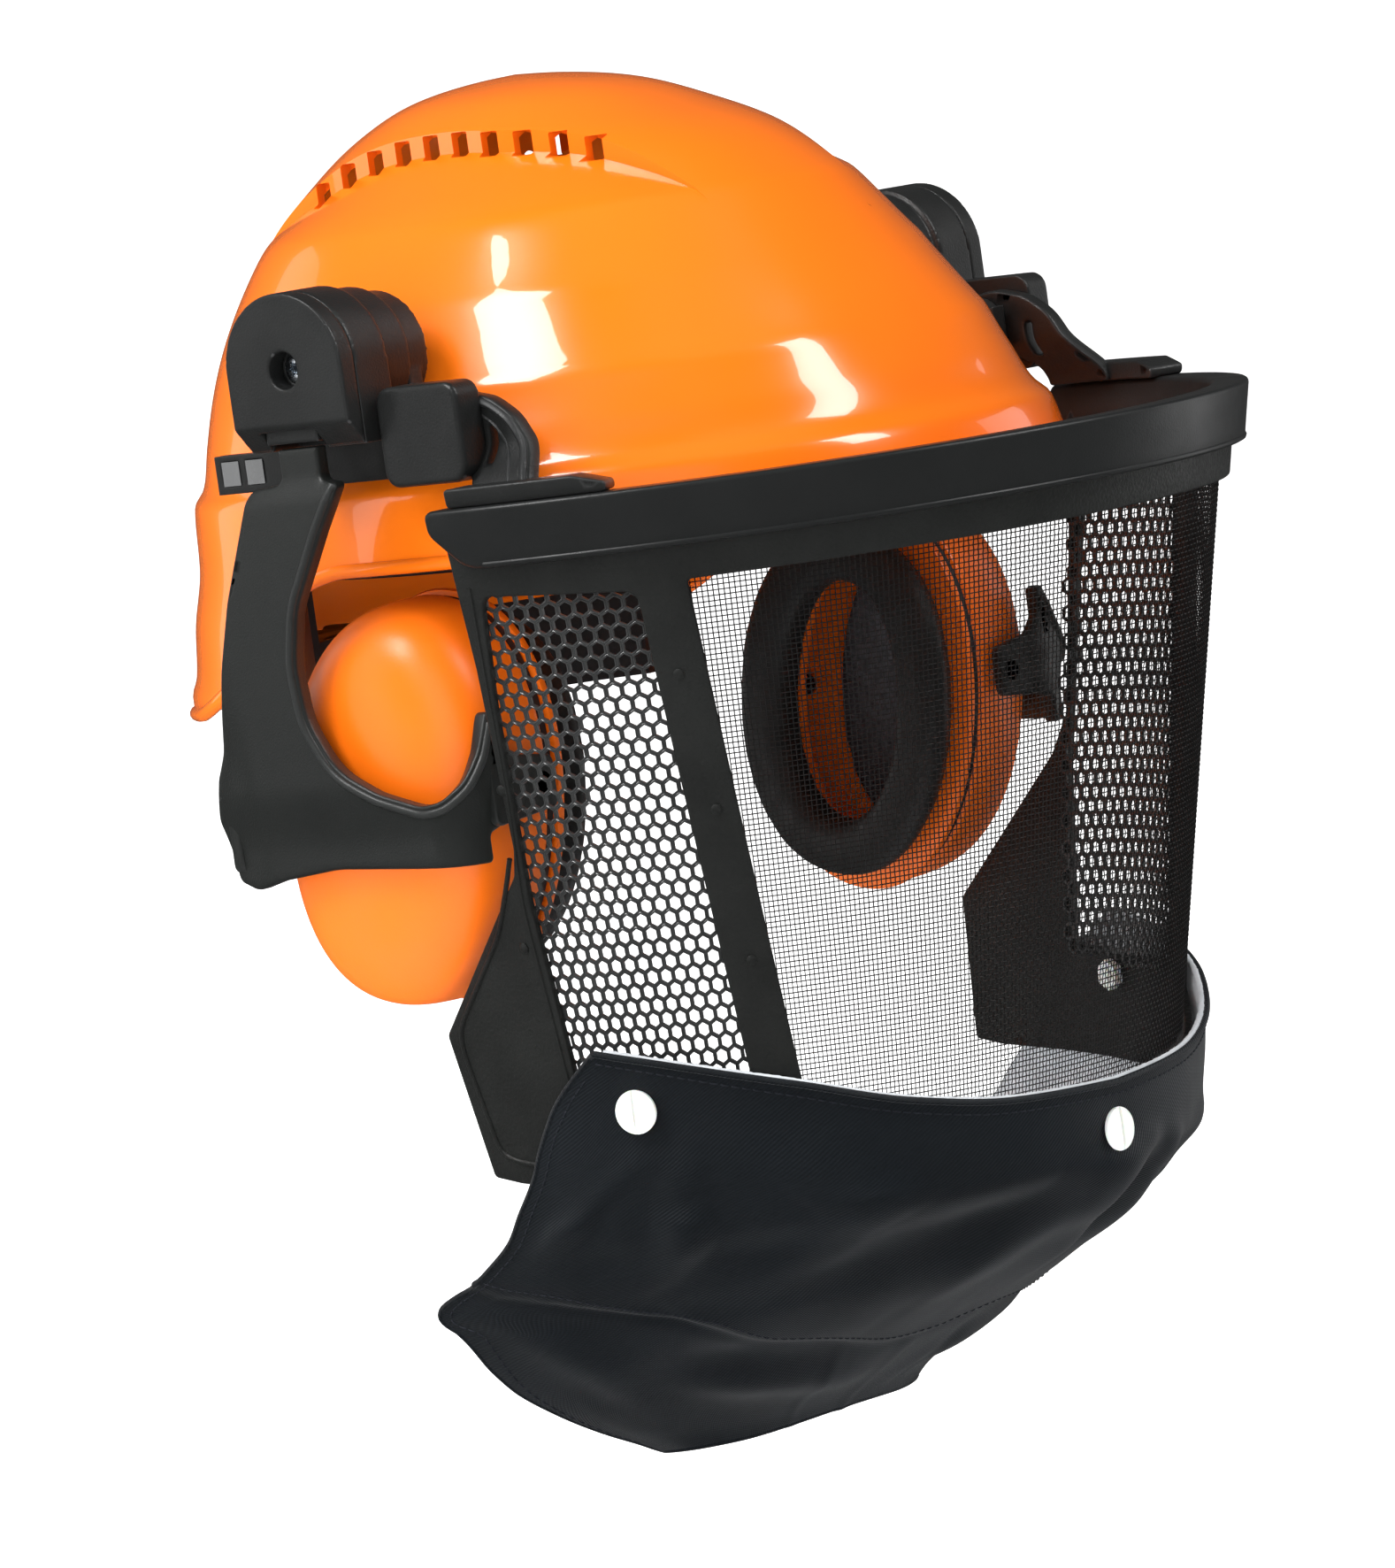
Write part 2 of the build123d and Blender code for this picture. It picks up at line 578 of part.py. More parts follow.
# flap fasteners: slotted nylon screws through flap and frame, with nuts behind
HEAD_IN = 3.9            # underside of the screw heads, out from the visor surface
FAST = []
for fx, fz in ((-1, -134.0), (0, -161.0), (1, -134.0)):
    if fx == 0:
        FAST.append(((0, VISOR_YC - visor_b(fz), fz), (0, -1, 0)))
    else:
        fa, fb = visor_a(fz), visor_b(fz)
        t = radians(75)
        FAST.append(((fx * fa * sin(t), VISOR_YC - fb * cos(t), fz), (fx * sin(t), -cos(t), 0)))
with BuildPart() as flap_screws:
    for (px, py, pz), (nx, ny, nz) in FAST:
        with BuildSketch(Plane(origin=(px + nx * HEAD_IN, py + ny * HEAD_IN, pz), x_dir=(0, 0, 1), z_dir=(nx, ny, 0))):
            Circle(5.9)
        extrude(amount=1.8)
        with BuildSketch(Plane(origin=(px + nx * (HEAD_IN + 1.8), py + ny * (HEAD_IN + 1.8), pz), x_dir=(0, 0, 1), z_dir=(nx, ny, 0))):
            Rectangle(12, 1.2)
        extrude(amount=-0.8, mode=Mode.SUBTRACT)
        with BuildSketch(Plane(origin=(px + nx * HEAD_IN, py + ny * HEAD_IN, pz), x_dir=(0, 0, 1), z_dir=(nx, ny, 0))):
            Circle(2.0)
        extrude(amount=-11)
flap_screws.part.label = "flap_screws"
export_step(flap_screws.part, "parts/flap_screws.step")
with BuildPart() as flap_nuts:
    for (px, py, pz), (nx, ny, nz) in FAST:
        with BuildSketch(Plane(origin=(px - nx * 3.6, py - ny * 3.6, pz), x_dir=(0, 0, 1), z_dir=(nx, ny, 0))):
            RegularPolygon(4.4, 6)
            Circle(2.0, mode=Mode.SUBTRACT)
        extrude(amount=-2.6)
flap_nuts.part.label = "flap_nuts"
export_step(flap_nuts.part, "parts/flap_nuts.step")

with BuildPart() as frame_drilled:
    add(visor_frame.part)
    add(flap_screws.part, mode=Mode.SUBTRACT)
frame_drilled.part.label = "visor_frame"
export_step(frame_drilled.part, "parts/visor_frame.step")
with BuildPart() as flap_drilled:
    add(chin_flap.part)
    add(flap_screws.part, mode=Mode.SUBTRACT)
flap_drilled.part.label = "chin_flap"
export_step(flap_drilled.part, "parts/chin_flap.step")

# ---------------------------------------------------------------- muff drum
D_SHAPE = [(-18.0, 50.0), (-18.0, DRUM_Z), (23.0, DRUM_Z), (23.0, 50.0)]
with BuildPart() as drum_housing_right:
    with BuildSketch(Plane.YZ.offset(-132)):
        with Locations((DRUM_Y, DRUM_Z)):
            Circle(DRUM_R)
        Polygon(*D_SHAPE, align=None)
    extrude(amount=13)
    with BuildSketch(Plane.YZ.offset(-119)):
        with Locations((DRUM_Y, DRUM_Z)):
            Circle(19)
    extrude(amount=10.7)
    # hinge cavity, open below
    with Locations((-127, 5.5, 54.6)):
        Box(11, 19.4, 21.2, mode=Mode.SUBTRACT)
    with BuildSketch(Plane.YZ.offset(-132.5)):
        with Locations((DRUM_Y, DRUM_Z)):
            Circle(4.4)
    extrude(amount=4.2, mode=Mode.SUBTRACT)
    with BuildSketch(Plane.YZ.offset(-132.5)):
        with Locations((DRUM_Y, DRUM_Z)):
            Circle(2.5 + RUN)
    extrude(amount=30, mode=Mode.SUBTRACT)
    with BuildSketch(Plane.XZ.offset(9)):
        with Locations((-HINGE_X, HINGE_Z)):
            Circle(HINGE_R)
    extrude(amount=-29, mode=Mode.SUBTRACT)
drum_housing_right.part.label = "drum_housing_right"
export_step(drum_housing_right.part, "parts/drum_housing_right.step")
with BuildPart() as drum_housing_left:
    mirror(drum_housing_right.part, about=Plane.YZ)
drum_housing_left.part.label = "drum_housing_left"
export_step(drum_housing_left.part, "parts/drum_housing_left.step")

with BuildPart() as drum_cap_right:
    with BuildSketch(Plane.YZ.offset(-138)):
        with Locations((DRUM_Y, DRUM_Z)):
            Circle(DRUM_R)
        Polygon(*D_SHAPE, align=None)
    extrude(amount=6)
    # sloping underside
    with BuildSketch(Plane.XZ.offset(-60)):
        Polygon((-138.5, 57.5), (-138.5, 40), (-131, 40), (-131, 49), (-132, 50), (-138, 57), align=None)
    extrude(amount=120, mode=Mode.SUBTRACT)
    with Locations((-134.2, 5.5, 54.6)):
        Box(4.6, 19.4, 21.2, mode=Mode.SUBTRACT)
    with BuildSketch(Plane.YZ.offset(-139)):
        with Locations((DRUM_Y, DRUM_Z)):
            Circle(5.0)
    extrude(amount=10, mode=Mode.SUBTRACT)
drum_cap_right.part.label = "drum_cap_right"
export_step(drum_cap_right.part, "parts/drum_cap_right.step")
with BuildPart() as drum_cap_left:
    mirror(drum_cap_right.part, about=Plane.YZ)
drum_cap_left.part.label = "drum_cap_left"
export_step(drum_cap_left.part, "parts/drum_cap_left.step")

with BuildPart() as hinge_pins:
    with BuildSketch(Plane.XZ.offset(9)):
        with Locations((-HINGE_X, HINGE_Z), (HINGE_X, HINGE_Z)):
            Circle(HINGE_R)
    extrude(amount=-29)
with BuildPart() as hinge_pin_right:
    add(hinge_pins.part)
    split(bisect_by=Plane.YZ, keep=Keep.BOTTOM)
hinge_pin_right.part.label = "hinge_pin_right"
export_step(hinge_pin_right.part, "parts/hinge_pin_right.step")
with BuildPart() as hinge_pin_left:
    mirror(hinge_pin_right.part, about=Plane.YZ)
hinge_pin_left.part.label = "hinge_pin_left"
export_step(hinge_pin_left.part, "parts/hinge_pin_left.step")

with BuildPart() as hinge_block_right:
    with Locations((-129.75, 5.5, 56.5)):
        Box(10.5, 18.4, 9)
    with Locations((-131, 5.5, 56.5)):
        Box(4.3, 14.3, 20, mode=Mode.SUBTRACT)
    with BuildSketch(Plane.XZ.offset(20)):
        with Locations((-HINGE_X, HINGE_Z)):
            Circle(HINGE_R + RUN)
    extrude(amount=-60, mode=Mode.SUBTRACT)
hinge_block_right.part.label = "hinge_block_right"
export_step(hinge_block_right.part, "parts/hinge_block_right.step")
with BuildPart() as hinge_block_left:
    mirror(hinge_block_right.part, about=Plane.YZ)
hinge_block_left.part.label = "hinge_block_left"
export_step(hinge_block_left.part, "parts/hinge_block_left.step")

# ---------------------------------------------------------------- muff arm
BLADE = [(-7.9, 40), (24, 40), (36.4, 11.5), (42.4, -7.3), (47.5, -28.6), (52, -36), (54.5, -47.5),
         (51.5, -64), (33, -63.5), (12.7, -62), (-15.7, -63), (-36.5, -63), (-36.5, -40),
         (-28.3, -46.5), (-21, -46.7), (-7.4, -42.5), (5.8, -35.4), (13.5, -22.1), (15, -7.5),
         (11.6, 7.8), (-0.9, 27.8), (-7.1, 36.8)]
with BuildPart() as muff_arm_right:
    with BuildSketch(Plane.YZ.offset(-136)):
        Polygon(*BLADE, align=None)
    extrude(amount=4.5)
    with Locations((-131, 5.5, 48.5)):
        Box(4, 14, 27)
    # cheeks that reach round the cup to its pivots
    with BuildSketch(Plane.XZ.offset(36.5)):
        Polygon((-136, -63), (-136, -36), (-97, -39), (-97, -53), (-126.5, -53), (-129, -60), align=None)
    extrude(amount=-3)
    with BuildSketch(Plane.XZ.offset(-52)):
        Polygon((-136, -63), (-136, -36), (-97, -39), (-97, -53), align=None)
    extrude(amount=4)
    with BuildSketch(Plane.XZ.offset(60)):
        with Locations((-CUP_PIN_X, CUP_PIN_Z)):
            Circle(CUP_PIN_R)
    extrude(amount=-130, mode=Mode.SUBTRACT)
muff_arm_right.part.label = "muff_arm_right"
export_step(muff_arm_right.part, "parts/muff_arm_right.step")
with BuildPart() as muff_arm_left:
    mirror(muff_arm_right.part, about=Plane.YZ)
muff_arm_left.part.label = "muff_arm_left"
export_step(muff_arm_left.part, "parts/muff_arm_left.step")

with BuildPart() as cup_pins_right:
    with BuildSketch(Plane.XZ.offset(36.5)):
        with Locations((-CUP_PIN_X, CUP_PIN_Z)):
            Circle(CUP_PIN_R)
    extrude(amount=-11.5)
    with BuildSketch(Plane.XZ.offset(-52)):
        with Locations((-CUP_PIN_X, CUP_PIN_Z)):
            Circle(CUP_PIN_R)
    extrude(amount=14)
cup_pins_right.part.label = "cup_pins_right"
export_step(cup_pins_right.part, "parts/cup_pins_right.step")
with BuildPart() as cup_pins_left:
    mirror(cup_pins_right.part, about=Plane.YZ)
cup_pins_left.part.label = "cup_pins_left"
export_step(cup_pins_left.part, "parts/cup_pins_left.step")

# ---------------------------------------------------------------- ear cup
CUP = [(91.0, 37.3, 55.2), (98, 37.3, 55.2), (106, 37.0, 54.9), (113, 36.0, 53.9), (118, 34.0, 51.8),
       (122, 30.5, 48.0), (125, 25.0, 42.0), (127, 17.0, 33.0)]
with BuildPart() as cup_shell_right:
    for x, sy, sz in CUP:
        with BuildSketch(Plane.YZ.offset(-x)):
            with Locations((CUP_Y, CUP_Z)):
                Ellipse(sy, sz, rotation=CUP_TILT)
    loft(ruled=True)
    for x, sy, sz in [(90.9, 34.9, 52.8)] + [(x - 1.4, sy - 2.4, sz - 2.4) for x, sy, sz in CUP[1:-1]] + [(124.6, 13.0, 29.0)]:
        with BuildSketch(Plane.YZ.offset(-x)):
            with Locations((CUP_Y, CUP_Z)):
                Ellipse(sy, sz, rotation=CUP_TILT)
    loft(ruled=True, mode=Mode.SUBTRACT)
    with BuildSketch(Plane.XZ.offset(60)):
        with Locations((-CUP_PIN_X, CUP_PIN_Z)):
            Circle(CUP_PIN_R + RUN)
    extrude(amount=-130, mode=Mode.SUBTRACT)
cup_shell_right.part.label = "cup_shell_right"
export_step(cup_shell_right.part, "parts/cup_shell_right.step")
with BuildPart() as cup_shell_left:
    mirror(cup_shell_right.part, about=Plane.YZ)
cup_shell_left.part.label = "cup_shell_left"
export_step(cup_shell_left.part, "parts/cup_shell_left.step")

with BuildPart() as cup_plate_right:
    with BuildSketch(Plane.YZ.offset(-91)):
        with Locations((CUP_Y, CUP_Z)):
            Ellipse(38.0, 56.0, rotation=CUP_TILT)
            Ellipse(23, 39, rotation=CUP_TILT, mode=Mode.SUBTRACT)
    extrude(amount=3)
cup_plate_right.part.label = "cup_plate_right"
export_step(cup_plate_right.part, "parts/cup_plate_right.step")
with BuildPart() as cup_plate_left:
    mirror(cup_plate_right.part, about=Plane.YZ)
cup_plate_left.part.label = "cup_plate_left"
export_step(cup_plate_left.part, "parts/cup_plate_left.step")

with BuildPart() as ear_cushion_right:
    with BuildSketch(Plane.YZ.offset(-88)):
        with Locations((CUP_Y, CUP_Z)):
            Ellipse(36.0, 51.0, rotation=CUP_TILT)
            Ellipse(20, 33.5, rotation=CUP_TILT, mode=Mode.SUBTRACT)
    extrude(amount=15)
    fillet(ear_cushion_right.faces().sort_by(Axis.X)[-1].edges(), 5.0)
ear_cushion_right.part.label = "ear_cushion_right"
export_step(ear_cushion_right.part, "parts/ear_cushion_right.step")
with BuildPart() as ear_cushion_left:
    mirror(ear_cushion_right.part, about=Plane.YZ)
ear_cushion_left.part.label = "ear_cushion_left"
export_step(ear_cushion_left.part, "parts/ear_cushion_left.step")

with BuildPart() as foam_liner_right:
    with BuildSketch(Plane.YZ.offset(-118)):
        with Locations((CUP_Y, CUP_Z)):
            Ellipse(24, 41, rotation=CUP_TILT)
    extrude(amount=12)
foam_liner_right.part.label = "foam_liner_right"
export_step(foam_liner_right.part, "parts/foam_liner_right.step")
with BuildPart() as foam_liner_left:
    mirror(foam_liner_right.part, about=Plane.YZ)
foam_liner_left.part.label = "foam_liner_left"
export_step(foam_liner_left.part, "parts/foam_liner_left.step")
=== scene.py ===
import math

import bmesh
import bpy
import numpy as np
from mathutils import Matrix, Vector
from mathutils.geometry import delaunay_2d_cdt


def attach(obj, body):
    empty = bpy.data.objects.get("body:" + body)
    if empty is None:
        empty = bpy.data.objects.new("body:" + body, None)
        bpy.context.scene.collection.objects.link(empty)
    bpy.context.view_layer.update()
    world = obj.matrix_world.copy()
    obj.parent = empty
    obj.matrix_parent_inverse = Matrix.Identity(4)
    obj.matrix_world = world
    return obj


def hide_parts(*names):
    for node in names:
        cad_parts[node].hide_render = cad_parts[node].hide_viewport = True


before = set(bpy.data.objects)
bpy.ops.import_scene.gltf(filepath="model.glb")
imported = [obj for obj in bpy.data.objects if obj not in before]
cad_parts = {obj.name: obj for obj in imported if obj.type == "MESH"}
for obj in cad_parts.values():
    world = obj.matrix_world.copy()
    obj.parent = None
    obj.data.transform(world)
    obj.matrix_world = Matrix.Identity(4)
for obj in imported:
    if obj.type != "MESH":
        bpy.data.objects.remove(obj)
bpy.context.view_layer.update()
scene = bpy.context.scene
MM = 0.001
rng = np.random.default_rng(7)


# ---------------------------------------------------------------- small maths
def smooth(t):
    t = np.clip(t, 0, 1)
    return t * t * (3 - 2 * t)


def spow(v, e):
    return np.sign(v) * np.abs(v) ** e


def pchip(xs, ys, xq):
    xs, ys = np.asarray(xs, float), np.asarray(ys, float)
    h, d = np.diff(xs), np.diff(ys) / np.diff(xs)
    m = np.zeros(len(xs))
    for i in range(1, len(xs) - 1):
        if d[i - 1] * d[i] > 0:
            w1, w2 = 2 * h[i] + h[i - 1], h[i] + 2 * h[i - 1]
            m[i] = (w1 + w2) / (w1 / d[i - 1] + w2 / d[i])
    m[0], m[-1] = d[0], d[-1]
    xq = np.asarray(xq, float)
    k = np.clip(np.searchsorted(xs, xq) - 1, 0, len(h) - 1)
    t = (xq - xs[k]) / h[k]
    return ((2 * t**3 - 3 * t**2 + 1) * ys[k] + (t**3 - 2 * t**2 + t) * h[k] * m[k]
            + (-2 * t**3 + 3 * t**2) * ys[k + 1] + (t**3 - t**2) * h[k] * m[k + 1])


def inside(pts, poly):
    x, y = pts[:, 0], pts[:, 1]
    res = np.zeros(len(pts), bool)
    n = len(poly)
    for i in range(n):
        x0, y0 = poly[i]
        x1, y1 = poly[(i + 1) % n]
        c = (y0 > y) != (y1 > y)
        if y1 != y0:
            res ^= c & (x < (x1 - x0) * (y - y0) / (y1 - y0) + x0)
    return res


def seg_dist(pts, poly, closed=True):
    best = np.full(len(pts), 1e9)
    n = len(poly)
    for i in range(n if closed else n - 1):
        a, b = np.asarray(poly[i], float), np.asarray(poly[(i + 1) % n], float)
        ab = b - a
        t = np.clip(((pts - a) @ ab) / max(ab @ ab, 1e-12), 0, 1)
        best = np.minimum(best, np.linalg.norm(pts - (a + t[:, None] * ab), axis=1))
    return best


def fillet(points, radii, seg=6):
    """Rounds the corners of a closed outline; radii is one number or one for each corner."""
    p = [np.asarray(q, float) for q in points]
    n = len(p)
    if not hasattr(radii, "__len__"):
        radii = [radii] * n
    out = []
    for i in range(n):
        a, b, c = p[i - 1], p[i], p[(i + 1) % n]
        r = radii[i]
        u, v = a - b, c - b
        lu, lv = np.linalg.norm(u), np.linalg.norm(v)
        u, v = u / lu, v / lv
        ang = math.acos(max(-1, min(1, float(u @ v))))
        if r <= 0 or ang > math.radians(176):
            out.append(b)
            continue
        d = min(r / math.tan(ang / 2), 0.47 * lu, 0.47 * lv)
        r = d * math.tan(ang / 2)
        centre = b + (u + v) / np.linalg.norm(u + v) * r / math.sin(ang / 2)
        s, e = b + u * d - centre, b + v * d - centre
        a0, a1 = math.atan2(s[1], s[0]), math.atan2(e[1], e[0])
        da = (a1 - a0 + math.pi) % (2 * math.pi) - math.pi
        for k in range(seg + 1):
            t = a0 + da * k / seg
            out.append(centre + r * np.array([math.cos(t), math.sin(t)]))
    return np.array(out)


def densify(poly, step, closed=True):
    poly = np.asarray(poly, float)
    out = []
    n = len(poly)
    for i in range(n if closed else n - 1):
        a, b = poly[i], poly[(i + 1) % n]
        k = max(1, int(math.ceil(np.linalg.norm(b - a) / step)))
        for j in range(k):
            out.append(a + (b - a) * j / k)
    if not closed:
        out.append(poly[-1])
    return np.array(out)


def area2(poly):
    x, y = poly[:, 0], poly[:, 1]
    return 0.5 * float(np.sum(x * np.roll(y, -1) - np.roll(x, -1) * y))


def inset(poly, d):
    """Moves a counter-clockwise outline inwards by d."""
    prev, nxt = np.roll(poly, 1, 0), np.roll(poly, -1, 0)
    e0, e1 = poly - prev, nxt - poly
    n0 = np.stack([-e0[:, 1], e0[:, 0]], 1) / np.maximum(np.linalg.norm(e0, axis=1), 1e-9)[:, None]
    n1 = np.stack([-e1[:, 1], e1[:, 0]], 1) / np.maximum(np.linalg.norm(e1, axis=1), 1e-9)[:, None]
    m = n0 + n1
    m /= np.maximum(np.linalg.norm(m, axis=1), 1e-9)[:, None]
    c = np.clip(np.sum(m * n0, 1), 0.5, 1)
    return poly + m * (d / c)[:, None]


# ---------------------------------------------------------------- mesh helpers
def mesh_object(name, verts, faces, mat, body=None, slot=None, sharp=38, replaces=(), uv=None):
    """verts in millimetres."""
    me = bpy.data.meshes.new(name)
    v = np.asarray(verts, float) * MM
    me.from_pydata(v.tolist(), [], [list(map(int, f)) for f in faces])
    me.validate()
    ob = bpy.data.objects.new(name, me)
    scene.collection.objects.link(ob)
    if uv is not None:
        layer = me.uv_layers.new(name="UVMap")
        idx = np.zeros(len(me.loops), int)
        me.loops.foreach_get("vertex_index", idx)
        layer.data.foreach_set("uv", np.asarray(uv, np.float32)[idx].ravel())
    dress(ob, mat, body, sharp, replaces)
    return ob


def dress(ob, mat, body=None, sharp=38, replaces=()):
    ob.data.materials.clear()
    ob.data.materials.append(mat)
    ob.data.shade_smooth()
    if sharp:
        ob.data.set_sharp_from_angle(angle=math.radians(sharp))
    if body:
        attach(ob, body)
    if replaces:
        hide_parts(*replaces)


def mirrored(ob, name, body, sharp=38, replaces=()):
    me = ob.data.copy()
    new = bpy.data.objects.new(name, me)
    scene.collection.objects.link(new)
    bm = bmesh.new()
    bm.from_mesh(me)
    for v in bm.verts:
        v.co.x = -v.co.x
    bmesh.ops.reverse_faces(bm, faces=bm.faces)
    bm.to_mesh(me)
    bm.free()
    dress(new, ob.data.materials[0], body, sharp, replaces)
    return new


def grid_faces(nu, nv, wrap=False, base=0, flip=False):
    f = []
    for i in range(nu if wrap else nu - 1):
        a0, b0 = base + i * nv, base + ((i + 1) % nu) * nv
        for j in range(nv - 1):
            q = (a0 + j, b0 + j, b0 + j + 1, a0 + j + 1)
            f.append(q[::-1] if flip else q)
    return f


def plate(outer, holes, h0, h1, bevel, spacing, mapper, step=2.0, arc=3):
    """A flat plate with rounded edges, from its outline and holes; mapper turns (points, heights) into 3-D."""
    loops = []
    for k, loop in enumerate([outer] + list(holes)):
        q = densify(loop, step)
        if (area2(q) < 0) == (k == 0):
            q = q[::-1]
        loops.append(q)
    rows = []
    for i in range(arc + 1):
        t = math.pi / 2 * i / arc
        rows.append((bevel * (1 - math.sin(t)), h0 + bevel * (1 - math.cos(t))))
    for i in range(arc + 1):
        t = math.pi / 2 * (1 - i / arc)
        rows.append((bevel * (1 - math.sin(t)), h1 - bevel * (1 - math.cos(t))))
    pts, hts, faces = [], [], []
    ring = []
    base = 0
    for q in loops:
        n = len(q)
        idx = []
        for d, h in rows:
            pts.append(inset(q, d))
            hts.append(np.full(n, h))
            idx.append(base)
            base += n
        for r in range(len(rows) - 1):
            a, b = idx[r], idx[r + 1]
            for i in range(n):
                j = (i + 1) % n
                faces.append((a + i, a + j, b + j, b + i))
        ring.append((idx[0], idx[-1], n))
    pts, hts = np.concatenate(pts), np.concatenate(hts)
    # caps: constrained triangulation with interior points
    rims = [pts[r[0]:r[0] + r[2]] for r in ring]
    lo, hi = rims[0].min(0), rims[0].max(0)
    gx = np.arange(lo[0] + spacing / 2, hi[0], spacing)
    gy = np.arange(lo[1] + spacing / 2, hi[1], spacing * 0.866)
    gp = np.array([(x + (spacing / 2 if j % 2 else 0), y) for j, y in enumerate(gy) for x in gx]).reshape(-1, 2)
    if len(gp):
        keep = inside(gp, rims[0])
        for r in rims[1:]:
            keep &= ~inside(gp, r)
        gp = gp[keep]
        if len(gp):
            far = np.ones(len(gp), bool)
            for r in rims:
                far &= seg_dist(gp, r) > spacing * 0.45
            gp = gp[far]
    cv = np.concatenate(rims + ([gp] if len(gp) else []))
    edges, o = [], 0
    for r in rims:
        edges += [(o + i, o + (i + 1) % len(r)) for i in range(len(r))]
        o += len(r)
    res = delaunay_2d_cdt([Vector(p) for p in cv.tolist()], edges, [], 0, 1e-6)
    rv = np.array([tuple(p) for p in res[0]])
    orig = res[3]
    tri = np.array([t for t in res[2] if len(t) == 3])
    cen = rv[tri].mean(1)
    ok = inside(cen, rims[0])
    for r in rims[1:]:
        ok &= ~inside(cen, r)
    tri = tri[ok]
    for top in (0, 1):
        remap = {}
        extra_p = []
        for vi in range(len(rv)):
            src = orig[vi][0] if orig[vi] else None
            if src is not None and src < o:
                s, k = src, 0
                while s >= ring[k][2]:
                    s -= ring[k][2]
                    k += 1
                remap[vi] = ring[k][top] + s
            else:
                remap[vi] = base + len(extra_p)
                extra_p.append(rv[vi])
        if extra_p:
            pts = np.concatenate([pts, np.array(extra_p)])
            hts = np.concatenate([hts, np.full(len(extra_p), h1 if top else h0)])
            base += len(extra_p)
        for t in tri:
            f = [remap[int(i)] for i in t]
            p = rv[t]
            ccw = (p[1, 0] - p[0, 0]) * (p[2, 1] - p[0, 1]) - (p[1, 1] - p[0, 1]) * (p[2, 0] - p[0, 0]) > 0
            faces.append(f if ccw == bool(top) else f[::-1])
    v = mapper(pts, hts)
    return v, faces


def fix_normals(ob):
    bm = bmesh.new()
    bm.from_mesh(ob.data)
    bmesh.ops.remove_doubles(bm, verts=bm.verts, dist=1e-7)
    bmesh.ops.recalc_face_normals(bm, faces=bm.faces)
    bm.to_mesh(ob.data)
    bm.free()


def tube(path, radius, sides=8, closed=False, caps=True, squash=1.0):
    """A tube of round section along a path of 3-D points; returns verts and faces."""
    p = np.asarray(path, float)
    n = len(p)
    if closed:
        t = np.roll(p, -1, 0) - np.roll(p, 1, 0)
    else:
        t = np.gradient(p, axis=0)
    t /= np.maximum(np.linalg.norm(t, axis=1), 1e-9)[:, None]
    ref = np.array([0, 0, 1.0]) if abs(t[0][2]) < 0.9 else np.array([1.0, 0, 0])
    nrm = np.zeros_like(p)
    nrm[0] = np.cross(t[0], ref)
    nrm[0] /= np.linalg.norm(nrm[0])
    for i in range(1, n):
        v = nrm[i - 1] - (nrm[i - 1] @ t[i]) * t[i]
        nrm[i] = v / max(np.linalg.norm(v), 1e-9)
    bi = np.cross(t, nrm)
    r = np.broadcast_to(np.asarray(radius, float), (n,))
    verts = []
    for i in range(n):
        for k in range(sides):
            a = 2 * math.pi * k / sides
            verts.append(p[i] + r[i] * (math.cos(a) * nrm[i] + squash * math.sin(a) * bi[i]))
    faces = []
    for i in range(n if closed else n - 1):
        j = (i + 1) % n
        for k in range(sides):
            m = (k + 1) % sides
            faces.append((i * sides + k, i * sides + m, j * sides + m, j * sides + k))
    if caps and not closed:
        faces.append(tuple(range(sides))[::-1])
        faces.append(tuple((n - 1) * sides + k for k in range(sides)))
    return np.array(verts), faces


def join_parts(parts):
    verts, faces, o = [], [], 0
    for v, f in parts:
        verts.append(np.asarray(v, float))
        faces += [tuple(i + o for i in q) for q in f]
        o += len(v)
    return np.concatenate(verts), faces


def boolean(target, tool, op):
    m = target.modifiers.new("b", "BOOLEAN")
    m.object = tool
    m.operation = op
    try:
        m.solver = "MANIFOLD"
    except TypeError:
        m.solver = "EXACT"
    dg = bpy.context.evaluated_depsgraph_get()
    me = bpy.data.meshes.new_from_object(target.evaluated_get(dg), depsgraph=dg)
    if len(me.polygons) < 8:
        m.solver = "EXACT"
        dg = bpy.context.evaluated_depsgraph_get()
        me = bpy.data.meshes.new_from_object(target.evaluated_get(dg), depsgraph=dg)
    target.modifiers.clear()
    old = target.data
    target.data = me
    bpy.data.meshes.remove(old)
    bpy.data.objects.remove(tool)


def raw_object(name, verts, faces):
    me = bpy.data.meshes.new(name)
    me.from_pydata((np.asarray(verts, float) * MM).tolist(), [], [list(map(int, f)) for f in faces])
    ob = bpy.data.objects.new(name, me)
    scene.collection.objects.link(ob)
    fix_normals(ob)
    return ob


def moulded(node, mat, body, voxel=0.55, passes=4, name=None, sharp=None):
    """A moulded piece from a CAD node's own shape, with its edges rounded by a fine remesh."""
    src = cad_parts[node]
    me = src.data.copy()
    ob = bpy.data.objects.new(name or node + "_moulded", me)
    scene.collection.objects.link(ob)
    bm = bmesh.new()
    bm.from_mesh(me)
    bmesh.ops.remove_doubles(bm, verts=bm.verts, dist=2e-6)
    bm.to_mesh(me)
    bm.free()
    r = ob.modifiers.new("r", "REMESH")
    r.mode = "VOXEL"
    r.voxel_size = voxel * MM
    s = ob.modifiers.new("s", "SMOOTH")
    s.factor = 0.5
    s.iterations = passes
    dg = bpy.context.evaluated_depsgraph_get()
    new = bpy.data.meshes.new_from_object(ob.evaluated_get(dg), depsgraph=dg)
    ob.modifiers.clear()
    ob.data = new
    dress(ob, mat, body, sharp, (node,))
    return ob


